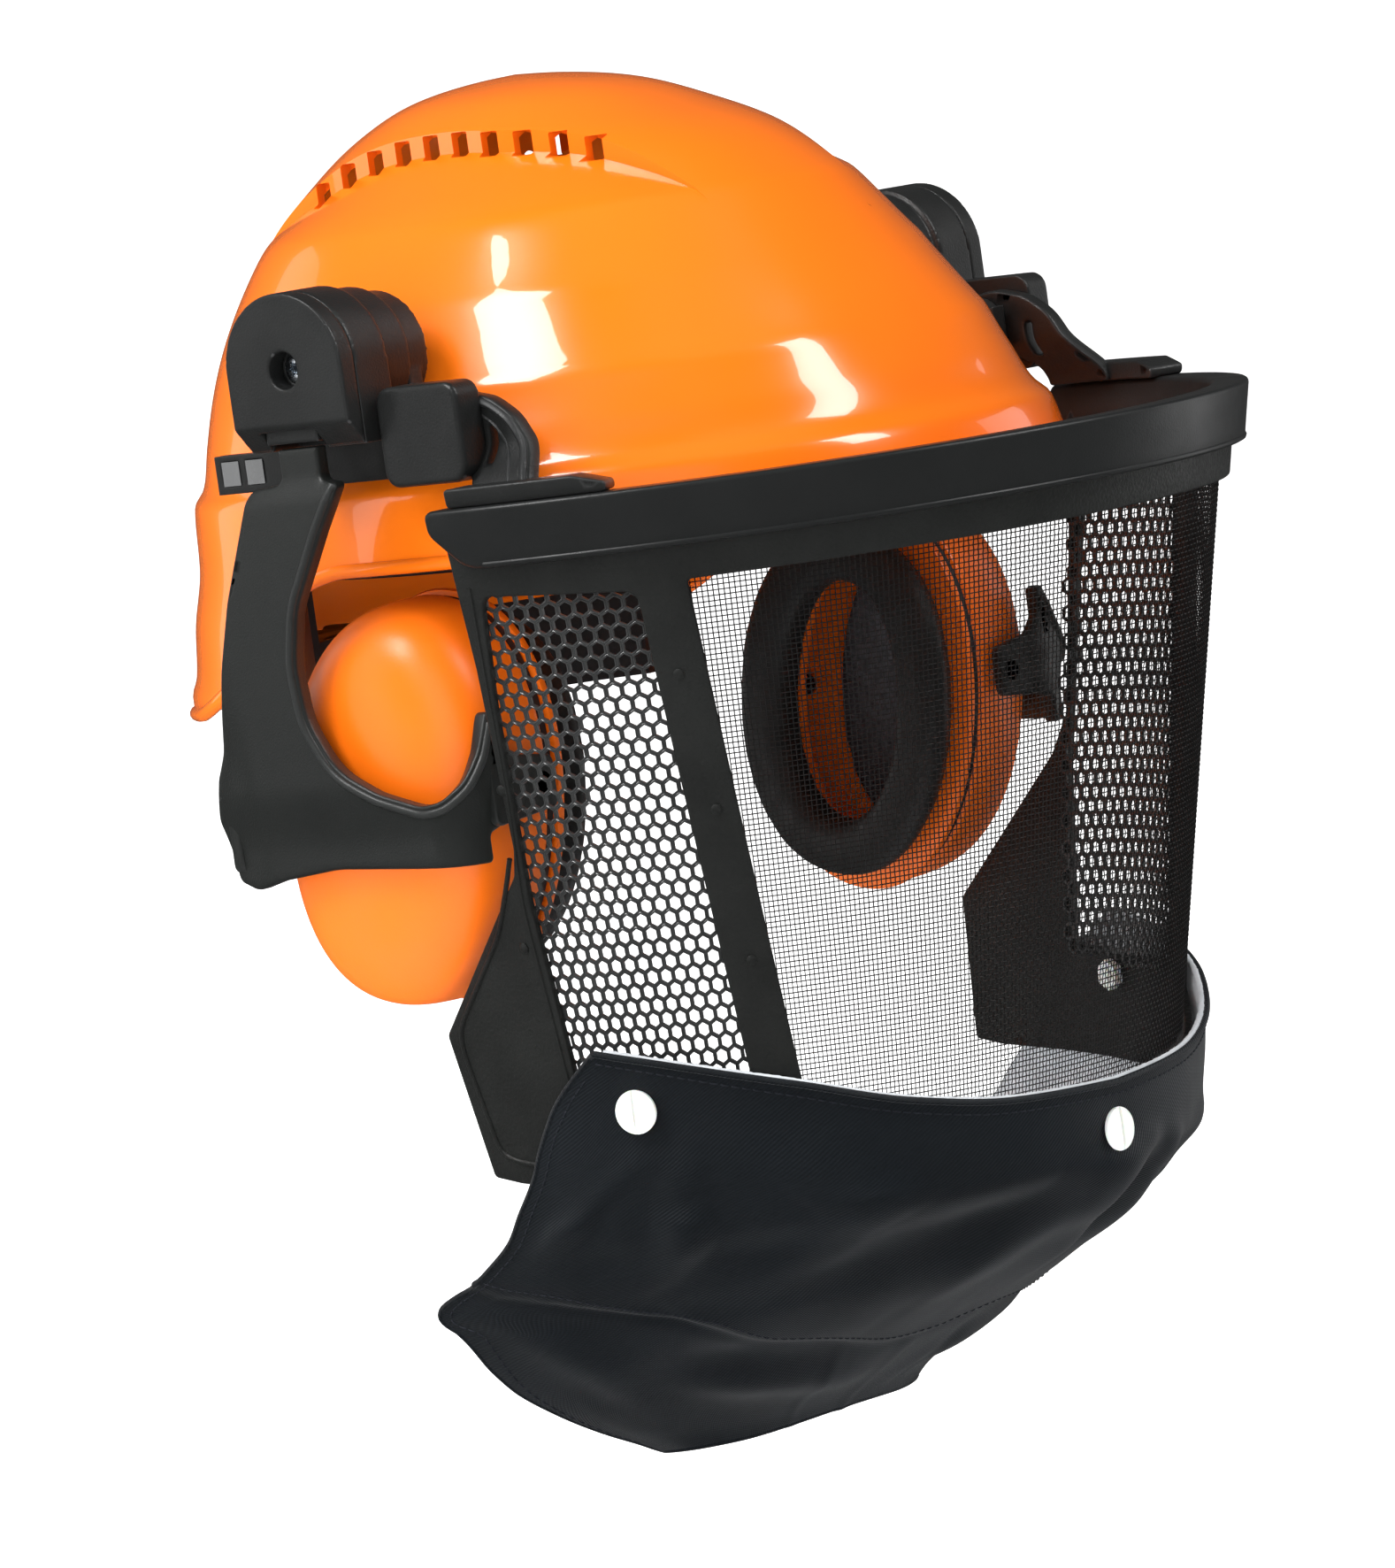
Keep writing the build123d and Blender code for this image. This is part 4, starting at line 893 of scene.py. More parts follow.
mirrored(ob, "visor_arm_left_moulded", "visor", 45, ("visor_arm_left",))


# ---------------------------------------------------------------- woven front mesh
def build_mesh():
    pitch, r, amp = 1.4, 0.20, 0.17
    h0 = -3.15
    ztop, zlow = 12.0, lambda u: -150.8 + 3.2 * (u / 70) ** 2 * 0 + 0.0
    ee = front_half([(-112, 9.5), (-103.5, 3), (-96.5, -136), (-112, -146)])
    ez, eu = ee[:, 1], -ee[:, 0]
    order = np.argsort(ez)
    ez, eu = ez[order], eu[order]
    corner_z = np.array([-162, -150.5, -146, -136, -1, 9.5, 13.5])
    corner_u = np.array([0, 0, float(to_u(-112, -146)), float(to_u(-96.5, -136)), float(to_u(-103.5, -1)),
                         float(to_u(-105, 9.5)), float(to_u(-105, 9.5))])

    def limit(z):
        return np.interp(z, corner_z, corner_u) + 1.8

    nu = int(round(2 * (corner_u.max() + 2) / pitch))
    us = (np.arange(nu) - (nu - 1) / 2) * pitch
    zs = np.arange(12.6, -151.5, -pitch)
    nz = len(zs)
    tri = [(math.cos(2 * math.pi * k / 3), math.sin(2 * math.pi * k / 3)) for k in range(3)]
    lim = limit(zs)

    def low_ok(u, z):
        # lower edge of the window falls a little towards the front
        return z > -150.2 + 2.2 * np.minimum(1, np.abs(u) / 80)

    inside_mask = (np.abs(us)[:, None] <= lim[None, :]) & low_ok(us[:, None], zs[None, :])
    out = []
    for direction in (0, 1):
        verts, faces = [], []
        n_line = nu if direction == 0 else nz
        for i in range(n_line):
            mask = inside_mask[i] if direction == 0 else inside_mask[:, i]
            idx = np.where(mask)[0]
            if len(idx) < 2:
                continue
            idx = np.arange(idx[0], idx[-1] + 1)
            if direction == 0:
                u, z = np.full(len(idx), us[i]), zs[idx]
            else:
                u, z = us[idx], np.full(len(idx), zs[i])
            w = amp * np.where((idx + i) % 2 == 0, 1, -1) * (1 if direction == 0 else -1)
            base = sum(map(len, verts))
            ring = []
            for cx, cy in tri:
                if direction == 0:
                    p = visor_map(np.stack([u + r * cx, z], 1), h0 + w + r * cy)
                else:
                    p = visor_map(np.stack([u, z + r * cx], 1), h0 + w + r * cy)
                ring.append(p)
            verts.append(np.stack(ring, 1).reshape(-1, 3))
            n = len(idx)
            for k in range(n - 1):
                a = base + k * 3
                for m in range(3):
                    q = (m + 1) % 3
                    faces.append((a + m, a + q, a + 3 + q, a + 3 + m))
            faces.append((base, base + 1, base + 2))
            faces.append((base + (n - 1) * 3 + 2, base + (n - 1) * 3 + 1, base + (n - 1) * 3))
        out.append((np.concatenate(verts), faces))
    warp = mesh_object("front_mesh_warp", *out[0], M_MESH, "visor", "mesh_black", None, ("front_mesh",))
    weft = mesh_object("front_mesh_weft", *out[1], M_MESH, "visor", "mesh_black", None)
    return warp, weft


build_mesh()


# ---------------------------------------------------------------- honeycomb side grilles
def build_grille(side):
    pitch = 4.45
    loop = side_outline(fillet(WINDOW, 3.5, 5), side)
    lo, hi = loop.min(0), loop.max(0)
    verts, faces = [], []
    R = pitch / math.sqrt(3)
    rows = int((hi[1] - lo[1] + 8) / (R * 1.5)) + 2
    cols = int((hi[0] - lo[0] + 8) / pitch) + 2
    cells = []
    for j in range(rows):
        for i in range(cols):
            cells.append((lo[0] - 4 + pitch * (i + (0.5 if j % 2 else 0)), lo[1] - 4 + R * 1.5 * j))
    cells = np.array(cells)
    near = inside(cells, loop) | (seg_dist(cells, loop) < 2.4)
    ang = math.pi / 6 + np.arange(6) * math.pi / 3
    hexa = np.stack([np.cos(ang), np.sin(ang)], 1)
    o = 0
    for c in cells[near]:
        rings = []
        for rad, h in ((R, -3.55), (R, -2.75), (R - 0.24, -2.55), (R - 0.62, -2.7), (R - 0.66, -3.55)):
            rings.append(visor_map(c + hexa * rad, np.full(6, h)))
        verts.append(np.concatenate(rings))
        for k in range(4):
            for m in range(6):
                n = (m + 1) % 6
                if k == 0:
                    continue
                faces.append((o + k * 6 + m, o + k * 6 + n, o + (k + 1) * 6 + n, o + (k + 1) * 6 + m))
        for m in range(6):
            n = (m + 1) % 6
            faces.append((o + 24 + m, o + 24 + n, o + n, o + m))
        o += 30
    v = np.concatenate(verts)
    name = "right" if side < 0 else "left"
    ob = mesh_object(f"side_grille_{name}_honeycomb", v, faces, M_GRILLE, "visor", "grille_black", None,
                     (f"side_grille_{name}",))
    bm = bmesh.new()
    bm.from_mesh(ob.data)
    bmesh.ops.remove_doubles(bm, verts=bm.verts, dist=2e-5)
    loose = [x for x in bm.verts if not x.link_faces]
    bmesh.ops.delete(bm, geom=loose, context="VERTS")
    bmesh.ops.recalc_face_normals(bm, faces=bm.faces)
    bm.to_mesh(ob.data)
    bm.free()
    ob.data.set_sharp_from_angle(angle=math.radians(50))


for s in (-1, 1):
    build_grille(s)

# ---------------------------------------------------------------- chin flap
FLAP = np.array([(-117, 115.8, -32, -140.5, 2.0), (-132, 113.2, -32, -137.2, 2.0), (-148, 110.5, -32, -133.6, 2.05),
                 (-163, 108.0, -24, -130.6, 2.1), (-168.5, 106.8, -20, -129.2, 2.1), (-177, 104.0, -8, -118.5, 2.2),
                 (-185, 101.5, 6, -109.0, 2.3), (-194, 98.0, 26, -98.0, 2.4), (-204, 92.5, 26, -80.0, 2.4),
                 (-213, 85.5, 23, -62.0, 2.3), (-222, 76.5, 15, -46.0, 2.2), (-230, 65.5, 7, -33.0, 2.1),
                 (-237, 53.0, -2, -23.0, 2.0)])[::-1]


def flap_row(z):
    z = np.clip(z, -237, -117)
    t = FLAP[:, 0]
    return [pchip(t, FLAP[:, k], z) for k in (1, 2, 3, 4)]


def flap_pt(w, z, off=0.0):
    a, ye, yf, n = flap_row(z)
    phi = np.clip(w, -1, 1) * math.pi / 2
    ext = np.maximum(np.abs(w) - 1, 0) * 140
    x = (a + off) * spow(np.sin(phi), 2 / n)
    y = ye - (ye - yf + off) * np.abs(np.cos(phi)) ** (2 / n) + ext
    return np.stack([x, y, z], -1)


def w_end(z):
    return pchip([-237, -230, -222, -210, -196, -186, -181, -171, -154, -133, -117],
                 [0.99, 0.993, 0.993, 0.99, 1.0, 1.115, 1.10, 1.10, 1.086, 0.995, 0.885], np.clip(z, -237, -117))


def z_top(s):
    return pchip([0, 0.2, 0.373, 0.593, 0.843, 1.0], [-148.2, -146.2, -141, -131, -122, -117.5], np.abs(s))


def z_seam(s):
    return pchip([0, 0.2, 0.445, 0.6, 0.8, 1.0], [-213, -212, -206, -197, -187.5, -181.5], np.abs(s))


def flap_surface(ns, nt):
    s = np.linspace(-1, 1, ns)
    # hem comes up a little towards the front
    t = np.linspace(0, 1, nt)
    S, T = np.meshgrid(s, t, indexing="ij")
    zt = z_top(S)
    zb = -237 + 1.8 * (1 - smooth(np.abs(S) / 0.5))
    Z = zt + T * (zb - zt)
    W = S * w_end(Z)
    return S, T, Z, W


def ridge(S, Z, a, b, width, height, ends=0.5):
    """A soft fold along a straight run from a to b, given as (s, z)."""
    ax, az, bx, bz = a[0] * 150, a[1], b[0] * 150, b[1]
    dx, dz = bx - ax, bz - az
    L = math.hypot(dx, dz)
    px, pz = S * 150 - ax, Z - az
    t = (px * dx + pz * dz) / L**2
    d = (px * dz - pz * dx) / L
    fade = smooth((t + 0.15) / ends) * smooth((1.15 - t) / ends)
    return height * np.exp(-(d / width) ** 2) * fade


def flap_folds(S, T, Z):
    d = np.zeros_like(S)
    right = -0.735   # s of the right screw
    # pulls that fan out below the screws
    d += ridge(S, Z, (-0.76, -140), (-0.92, -172), 5, 2.2)
    d += ridge(S, Z, (-0.74, -142), (-0.66, -182), 6, 2.8)
    d -= ridge(S, Z, (-0.82, -146), (-0.80, -180), 6, 1.6)
    d -= ridge(S, Z, (-0.68, -146), (-0.52, -178), 8, 2.2)
    d += ridge(S, Z, (-0.60, -150), (-0.34, -170), 9, 2.0)
    d += ridge(S, Z, (-0.20, -196), (0.10, -166), 9, 3.0)
    d -= ridge(S, Z, (-0.45, -190), (-0.10, -176), 10, 2.2)
    d += ridge(S, Z, (0.02, -166), (0.04, -204), 7, 2.0)
    d += ridge(S, Z, (0.16, -164), (0.22, -196), 5, 2.0)
    d -= ridge(S, Z, (0.10, -168), (0.13, -200), 5, 1.8)
    d += ridge(S, Z, (0.76, -140), (0.93, -170), 5, 2.0)
    d += ridge(S, Z, (0.74, -142), (0.60, -180), 7, 2.6)
    d -= ridge(S, Z, (0.66, -146), (0.45, -182), 8, 2.0)
    d += ridge(S, Z, (0.35, -158), (0.36, -192), 7, 1.8)
    # lower panel: long sagging folds
    d += ridge(S, Z, (-0.62, -214), (-0.05, -224), 5, 2.2)
    d -= ridge(S, Z, (-0.66, -206), (-0.15, -217), 5, 1.6)
    d += ridge(S, Z, (0.55, -212), (0.10, -226), 5, 2.0)
    d += ridge(S, Z, (0.80, -196), (0.55, -222), 6, 1.4)
    d += ridge(S, Z, (-0.95, -192), (-0.70, -218), 7, 1.4)
    rs = np.random.default_rng(3)
    for _ in range(26):
        cx, cz = rs.uniform(-1, 1), rs.uniform(-232, -158)
        ang = rs.uniform(-0.9, 0.9)
        ln = rs.uniform(10, 26)
        d += ridge(S, Z, (cx - math.sin(ang) * ln / 300, cz - math.cos(ang) * ln / 2),
                   (cx + math.sin(ang) * ln / 300, cz + math.cos(ang) * ln / 2), rs.uniform(2.5, 5), rs.uniform(-0.7, 0.8))
    d *= 1.45
    # the cloth lies flat where the frame and the screws hold it
    hold = smooth((-Z - 160) / 12 + 0.15)
    near_top = smooth((T - 0.02) / 0.25)
    d *= np.clip(hold + 0.45 * near_top, 0, 1) * near_top
    d = np.where(d < 0, d * np.clip(smooth((-Z - 168) / 12), 0, 1), d)
    # seam between the panels: upper panel laps over the lower one
    zs = z_seam(S) + 1.6 * np.sin(S * 14) * (1 - np.abs(S))
    q = Z - zs
    d += 1.25 * smooth((q + 0.5) / 0.9) * np.exp(-np.maximum(q, 0) / 9.0)
    d -= 0.7 * np.exp(-((q + 1.4) / 1.5) ** 2)
    # edges are turned and stitched: a slight roll
    d += 0.5 * np.exp(-((T * 100) / 2.2) ** 2) + 0.6 * np.exp(-(((1 - T) * 100) / 2.2) ** 2)
    return d


def sheet_normals(P):
    du, dv = np.gradient(P, axis=0), np.gradient(P, axis=1)
    n = np.cross(du, dv)
    n /= np.maximum(np.linalg.norm(n, axis=2), 1e-9)[:, :, None]
    return n


def build_flap():
    ns, nt = 301, 120
    S, T, Z, W = flap_surface(ns, nt)
    P = flap_pt(W, Z)
    N = sheet_normals(P)
    if N[ns // 2, 5, 1] > 0:
        N = -N
    D = flap_folds(S, T, Z)
    out = P + N * D[:, :, None]
    for _ in range(2):
        out[1:-1, 1:-1] = (out[1:-1, 1:-1] * 4 + out[:-2, 1:-1] + out[2:, 1:-1] + out[1:-1, :-2] + out[1:-1, 2:]) / 8
    N2 = sheet_normals(out)
    if N2[ns // 2, 5, 1] > 0:
        N2 = -N2
    # thickness: twill outside, fleece inside
    mid = out - N2 * 1.0
    inn = out - N2 * 2.0
    ulen = np.concatenate([[0], np.cumsum(np.linalg.norm(np.diff(out[:, nt // 2], axis=0), axis=1))])
    vlen = np.concatenate([[0], np.cumsum(np.linalg.norm(np.diff(out[ns // 2], axis=0), axis=1))])
    UV = np.stack(np.meshgrid(ulen, vlen, indexing="ij"), -1).reshape(-1, 2)

    def slab(a, b):
        v = np.concatenate([a.reshape(-1, 3), b.reshape(-1, 3)])
        n = ns * nt
        f = grid_faces(ns, nt) + grid_faces(ns, nt, base=n, flip=True)
        for i in range(ns - 1):
            f.append((i * nt, n + i * nt, n + (i + 1) * nt, (i + 1) * nt))
            k = nt - 1
            f.append((i * nt + k, (i + 1) * nt + k, n + (i + 1) * nt + k, n + i * nt + k))
        for j in range(nt - 1):
            f.append((j, j + 1, n + j + 1, n + j))
            k = (ns - 1) * nt
            f.append((k + j, n + k + j, n + k + j + 1, k + j + 1))
        return v, f

    v, f = slab(out, mid)
    cloth = mesh_object("chin_flap_cloth", v, f, M_CLOTH, "visor", "flap_cloth", 60, ("chin_flap",),
                        np.concatenate([UV, UV]))
    fix_normals(cloth)
    v, f = slab(mid, inn)
    lining = mesh_object("chin_flap_lining", v, f, M_FLEECE, "visor", "flap_cloth", 60)
    fix_normals(lining)
    # fleece shows as a soft roll along the top edge
    top = mid[:, 0] - N2[:, 0] * 0.6 + [0, 0, 0.2]
    wob = rng.normal(0, 0.08, ns)
    v, f = tube(top[3:-3], 0.85 + wob[3:-3], 10)
    roll = mesh_object("flap_fleece_edge", v, f, M_FLEECE, "visor", "flap_cloth", None)
    fix_normals(roll)
    # turned hem round the outer edge
    border = np.concatenate([out[:, 0] - N2[:, 0] * 0.2, out[-1, 1:] - N2[-1, 1:] * 0.6,
                             out[::-1, -1][1:] - N2[::-1, -1][1:] * 0.6, out[0, ::-1][1:-1] - N2[0, ::-1][1:-1] * 0.6])
    v, f = tube(border, 0.95, 10, closed=True)
    hem = mesh_object("flap_hem", v, f, M_CLOTH, "visor", "flap_cloth", None, uv=np.stack(
        [np.repeat(np.arange(len(border)), 10) * 1.0, np.tile(np.arange(10), len(border)) * 0.6], 1))
    fix_normals(hem)
    # stitches
    st = []

    def stitch_row(path, nrm, length=2.1, gap=0.8, r=0.22):
        seg = np.concatenate([[0], np.cumsum(np.linalg.norm(np.diff(path, axis=0), axis=1))])
        pos = 1.0
        while pos + length < seg[-1]:
            q = np.linspace(pos, pos + length, 5)
            pts = np.stack([np.interp(q, seg, path[:, k]) for k in range(3)], 1)
            nn = np.stack([np.interp(q, seg, nrm[:, k]) for k in range(3)], 1)
            lift = np.array([-0.12, 0.1, 0.17, 0.1, -0.12])
            st.append(tube(pts + nn * lift[:, None], r, 6))
            pos += length + gap

    def row_at(dist_from_top, rows_out=out):
        # path a fixed distance below the top edge
        res, nr = [], []
        for i in range(2, ns - 2):
            L = np.concatenate([[0], np.cumsum(np.linalg.norm(np.diff(rows_out[i], axis=0), axis=1))])
            res.append([np.interp(dist_from_top, L, rows_out[i][:, k]) for k in range(3)])
            nr.append([np.interp(dist_from_top, L, N2[i][:, k]) for k in range(3)])
        return np.array(res), np.array(nr)

    stitch_row(*row_at(3.4))
    L_end = []
    for i in (4, ns - 5):
        stitch_row(out[i, 6:-3], N2[i, 6:-3])
    zs = z_seam(np.linspace(-1, 1, ns)) + 1.6 * np.sin(np.linspace(-1, 1, ns) * 14) * (1 - np.abs(np.linspace(-1, 1, ns)))
    seam_p, seam_n = [], []
    for i in range(1, ns - 1):
        seam_p.append([np.interp(-(zs[i] + 1.9), -Z[i], out[i][:, k]) for k in range(3)])
        seam_n.append([np.interp(-(zs[i] + 1.9), -Z[i], N2[i][:, k]) for k in range(3)])
    stitch_row(np.array(seam_p), np.array(seam_n), 1.9, 0.8, 0.18)
    v, f = join_parts(st)
    th = mesh_object("flap_stitching", v, f, M_THREAD, "visor", "flap_cloth", None)
    return cloth


build_flap()


# ---------------------------------------------------------------- nylon screws
def build_screws():
    parts = []
    for fx, fz in ((-1, -134.0), (0, -161.0), (1, -134.0)):
        if fx == 0:
            p = np.array([0, YC - vb(fz), fz])
            n = np.array([0, -1.0, 0])
        else:
            t = math.radians(75)
            p = np.array([fx * va(fz) * math.sin(t), YC - vb(fz) * math.cos(t), fz])
            n = np.array([fx * math.sin(t), -math.cos(t), 0])
        e1 = np.array([0, 0, 1.0])
        e2 = np.cross(n, e1)
        prof = [(2.0, -7.0), (2.0, 3.9), (5.5, 3.9), (5.85, 4.2), (5.95, 4.7), (5.8, 5.15), (5.2, 5.55), (3.8, 5.8),
                (2.0, 5.9), (0.0, 5.92)]
        cnt = 48
        verts, faces = [], []
        for r, h in prof[:-1]:
            for k in range(cnt):
                a = 2 * math.pi * k / cnt
                verts.append(p + n * h + r * (math.cos(a) * e1 + math.sin(a) * e2))
        for i in range(len(prof) - 2):
            for k in range(cnt):
                m = (k + 1) % cnt
                faces.append((i * cnt + k, i * cnt + m, (i + 1) * cnt + m, (i + 1) * cnt + k))
        faces.append(tuple(range(cnt)))
        faces.append(tuple((len(prof) - 2) * cnt + k for k in range(cnt)))
        head = raw_object("s", verts, faces)
        box = []
        for hh in (4.9, 7.0):
            for (c1, c2) in ((-7, -0.55), (7, -0.55), (7, 0.55), (-7, 0.55)):
                box.append(p + n * hh + c1 * e1 + c2 * e2)
        bx = raw_object("c", box, [(0, 3, 2, 1), (4, 5, 6, 7), (0, 1, 5, 4), (1, 2, 6, 5), (2, 3, 7, 6), (3, 0, 4, 7)])
        boolean(head, bx, "DIFFERENCE")
        co = np.array([v.co for v in head.data.vertices]) / MM
        parts.append((co, [tuple(q.vertices) for q in head.data.polygons]))
        bpy.data.objects.remove(head)
    v, f = join_parts(parts)
    ob = mesh_object("flap_screw_heads", v, f, M_NYLON, "visor", "white_nylon", 32, ("flap_screws",))


build_screws()


# ---------------------------------------------------------------- muff arm
def arm_profile(y, z):
    """How far the arm's outer face stands in from x = 136.4, by place."""
    d = 1.0 * smooth((12 - z) / 40) * 0
    # the lower band leans in below its crease and the rear edge wraps round
    d = d + 2.6 * smooth((-38.5 - z) / 19.0 + 0.0) * 1.0
    d = d + 3.6 * smooth((y - 34) / 20) * smooth((0 - z) / 40)
    d = d + 2.6 * smooth((z - 36) / 7)
    d = d + 0.0
    return d


def muff_arm_map(p, h):
    """The front of the band turns inwards round the cup; y below -22 runs on along that bend."""
    y, z = p[:, 0], p[:, 1]
    d = arm_profile(y, z)
    R, y0 = 14.5, -22.0
    t = np.maximum(y0 - y, 0)
    phi = np.minimum(t / R, math.pi / 2)
    over = np.maximum(t - R * math.pi / 2, 0)
    r = R - (136.4 - h) - d
    x = -(136.4 - R) - r * np.cos(phi) + over
    yy = np.where(y > y0, y, y0 - r * np.sin(phi))
    return np.stack([x, yy, z], 1)


BLADE = [(-7.9, 40.5), (-1.5, 41.5), (-1.5, 50.5), (12.5, 50.5), (12.5, 41.5), (23.5, 40.5), (36.4, 11.5), (42.4, -7.3),
         (47.5, -28.6), (52, -36), (55.0, -47.5), (51.5, -64.5), (44, -67), (33, -64.5), (12.7, -62.3), (-15.7, -63.4),
         (-43.8, -64.0), (-43.8, -56.5), (-49.0, -55.0), (-49.0, -25.0), (-46.0, -24.0), (-41.0, -34.0), (-35.5, -41.5), (-28.3, -46.0), (-21, -46.7), (-7.4, -42.5), (5.8, -35.4), (13.5, -22.1),
         (15, -7.5), (11.6, 7.8), (-0.9, 27.8), (-7.1, 36.8)]
RAD = [4, 2.5, 0.4, 0.4, 2.5, 4, 40, 40, 12, 8, 8, 3, 10, 20, 40, 40, 1.5, 2, 1.5, 1.5, 2, 14, 14, 12, 14, 22, 22, 22, 22,
       22, 22, 8]
blade = fillet(BLADE, RAD, 7)
av = plate(blade, [], 132.0, 136.4, 1.0, 1.7, muff_arm_map, step=1.0, arc=4)
# raised bead along the inner edge of the opening
edge = fillet([(-6.4, 40.0), (-5.4, 37.6), (0.9, 28.9), (13.4, 8.6), (17.0, -7.3), (15.5, -22.8), (7.3, -37.0),
               (-6.8, -44.5), (-20.9, -48.9), (-29.3, -48.5), (-37.0, -43.4), (-42.6, -35.6), (-46.4, -27.5)],
              [0, 10, 30, 30, 25, 22, 22, 20, 12, 12, 12, 10, 0], 7)
edge = densify(edge, 1.0, closed=False)
for _ in range(10):
    edge[1:-1] = (edge[:-2] + 2 * edge[1:-1] + edge[2:]) / 4
bead = tube(muff_arm_map(edge, np.full(len(edge), 136.15)), 1.25, 10)
# cheeks that reach round the cup to its pivots
cheeks = []
for (y0, y1, q) in ((-36.5, -33.5, [(-122.5, -55.0), (-122.5, -26), (-112, -37), (-97, -39), (-97, -53)]),
                    (48.0, 52.0, [(-131.5, -63), (-131.5, -38), (-97, -39), (-97, -53)])):
    cheeks.append(plate(fillet(q, 2.5, 5), [], y0, y1, 0.7, 5,
                        lambda p, h: np.stack([p[:, 0], h, p[:, 1]], 1), step=2))
ob = mesh_object("muff_arm_right_moulded", *join_parts([av, bead] + cheeks), M_ARM, "arm_right", "arm_black", 45,
                 ("muff_arm_right",))
fix_normals(ob)
mirrored(ob, "muff_arm_left_moulded", "arm_left", 45, ("muff_arm_left",))

# ---------------------------------------------------------------- ear cups
CY, CZ, TILT = 7.0, -49.0, math.radians(12)


def cup_ring(x, sy, sz, count=120, n=2.12):
    t = 2 * math.pi * np.arange(count) / count
    a, b = sy * spow(np.cos(t), 2 / n), sz * spow(np.sin(t), 2 / n)
    y = a * math.cos(TILT) - b * math.sin(TILT)
    z = a * math.sin(TILT) + b * math.cos(TILT)
    return np.stack([np.full(count, -x), CY + y, CZ + z], 1)


def lathe(rows, count=120, close_first=False, close_last=True, n=2.12):
    v = np.concatenate([cup_ring(*r, count, n) for r in rows])
    f = []
    for i in range(len(rows) - 1):
        for k in range(count):
            m = (k + 1) % count
            f.append((i * count + k, i * count + m, (i + 1) * count + m, (i + 1) * count + k))
    if close_first:
        f.append(tuple(range(count)))
    if close_last:
        f.append(tuple((len(rows) - 1) * count + k for k in range(count))[::-1])
    return v, f


CUP = np.array([(95.0, 37.3, 55.2), (98, 37.3, 55.2), (106, 37.0, 54.9), (113, 36.0, 53.9), (118, 34.0, 51.8),
                (122, 30.5, 48.0), (125, 25.0, 42.0), (126.8, 17.0, 33.0), (127.4, 8.0, 18.0), (127.5, 0.4, 1.2)])
t = np.concatenate([[0], np.cumsum(np.hypot(np.diff(CUP[:, 0]), np.diff((CUP[:, 1] + CUP[:, 2]) / 2)))])
q = np.linspace(0, t[-1], 64)
prof = np.stack([pchip(t, CUP[:, k], q) for k in range(3)], 1)
for _ in range(10):
    prof[1:-1] = (prof[:-2] + 2 * prof[1:-1] + prof[2:]) / 4
outer = [tuple(r) for r in prof]
wall = [(r[0] - 2.2, max(r[1] - 2.4, 0.3), max(r[2] - 2.4, 0.9)) for r in prof[2:-1:3]][::-1]
wall = [w for w in wall if w[0] > 93]
rim = [(91.3, 34.6, 52.5), (91.2, 36.0, 53.9), (91.4, 36.1, 54.0), (94.2, 36.1, 54.0), (94.5, 36.9, 54.8)]
rows = wall + rim + outer
v, f = lathe(rows, close_first=True)
ob = mesh_object("cup_shell_right_dome", v, f, M_CUP, "cup_right", "cup_orange", 45, ("cup_shell_right",))
fix_normals(ob)
mirrored(ob, "cup_shell_left_dome", "cup_left", 45, ("cup_shell_left",))
# a dark ring set down in the groove between the dome's rim and the back plate's flange
v, f = lathe([(91.6, 35.9, 53.8), (91.7, 36.6, 54.5), (93.9, 36.6, 54.5), (94.0, 35.9, 53.8)], close_last=False)
f += [(3 * 120 + k, 3 * 120 + (k + 1) % 120, (k + 1) % 120, k) for k in range(120)]
ob = mesh_object("cup_groove_right", v, f, M_DARK, "cup_right", "moulded_black", 45)
fix_normals(ob)
mirrored(ob, "cup_groove_left", "cup_left", 45)
# back plate with rounded flange
flange = [(88.2, 23.2, 39.2), (88.2, 36.9, 54.9), (88.5, 37.8, 55.8), (89.6, 38.2, 56.2), (90.7, 37.8, 55.8),
          (91.0, 36.9, 54.9), (91.0, 23.2, 39.2)]
v, f = lathe(flange, close_last=False)
f += [(6 * 120 + k, 6 * 120 + (k + 1) % 120, (k + 1) % 120, k) for k in range(120)]
ob = mesh_object("cup_plate_right_moulded", v, f, M_CUP, "cup_right", "cup_orange", 45, ("cup_plate_right",))
fix_normals(ob)
mirrored(ob, "cup_plate_left_moulded", "cup_left", 45, ("cup_plate_left",))


# ear cushion: a soft ring, crowned towards the ear, with a welded seam round its outside
def cushion():
    nc, nr = 160, 40
    t = 2 * math.pi * np.arange(nc) / nc
    verts = []
    rr = np.random.default_rng(5)
    ph = rr.uniform(0, 6.28, 6)
    for i in range(nc):
        wr = 1 + 0.012 * sum(math.sin((9 + 5 * k) * t[i] + ph[k]) for k in range(6)) / 1.5
        for j in range(nr):
            a = 2 * math.pi * j / nr
            cx, cr = spow(np.cos(a), 2 / 2.7), spow(np.sin(a), 2 / 2.5)
            # cx +1 towards the ear, cr +1 outwards
            x = 80.6 - 7.0 * cx * wr
            pull = 0.86 if cx < -0.2 else 1.0
            seam = 0.75 * math.exp(-((cx + 0.55) / 0.16) ** 2) * max(0.0, float(cr))
            rad = 8.0 * cr * (pull if cr > 0 else 0.95) * (0.985 + 0.015 * wr) - seam
            sy, sz = 28.0 + rad, 42.2 + rad * 1.02
            yy = sy * spow(math.cos(t[i]), 2 / 2.12)
            zz = sz * spow(math.sin(t[i]), 2 / 2.12)
            verts.append((-x, CY + yy * math.cos(TILT) - zz * math.sin(TILT),
                          CZ + yy * math.sin(TILT) + zz * math.cos(TILT)))
    f = []
    for i in range(nc):
        for j in range(nr):
            f.append((i * nr + j, ((i + 1) % nc) * nr + j, ((i + 1) % nc) * nr + (j + 1) % nr, i * nr + (j + 1) % nr))
    return np.array(verts), f


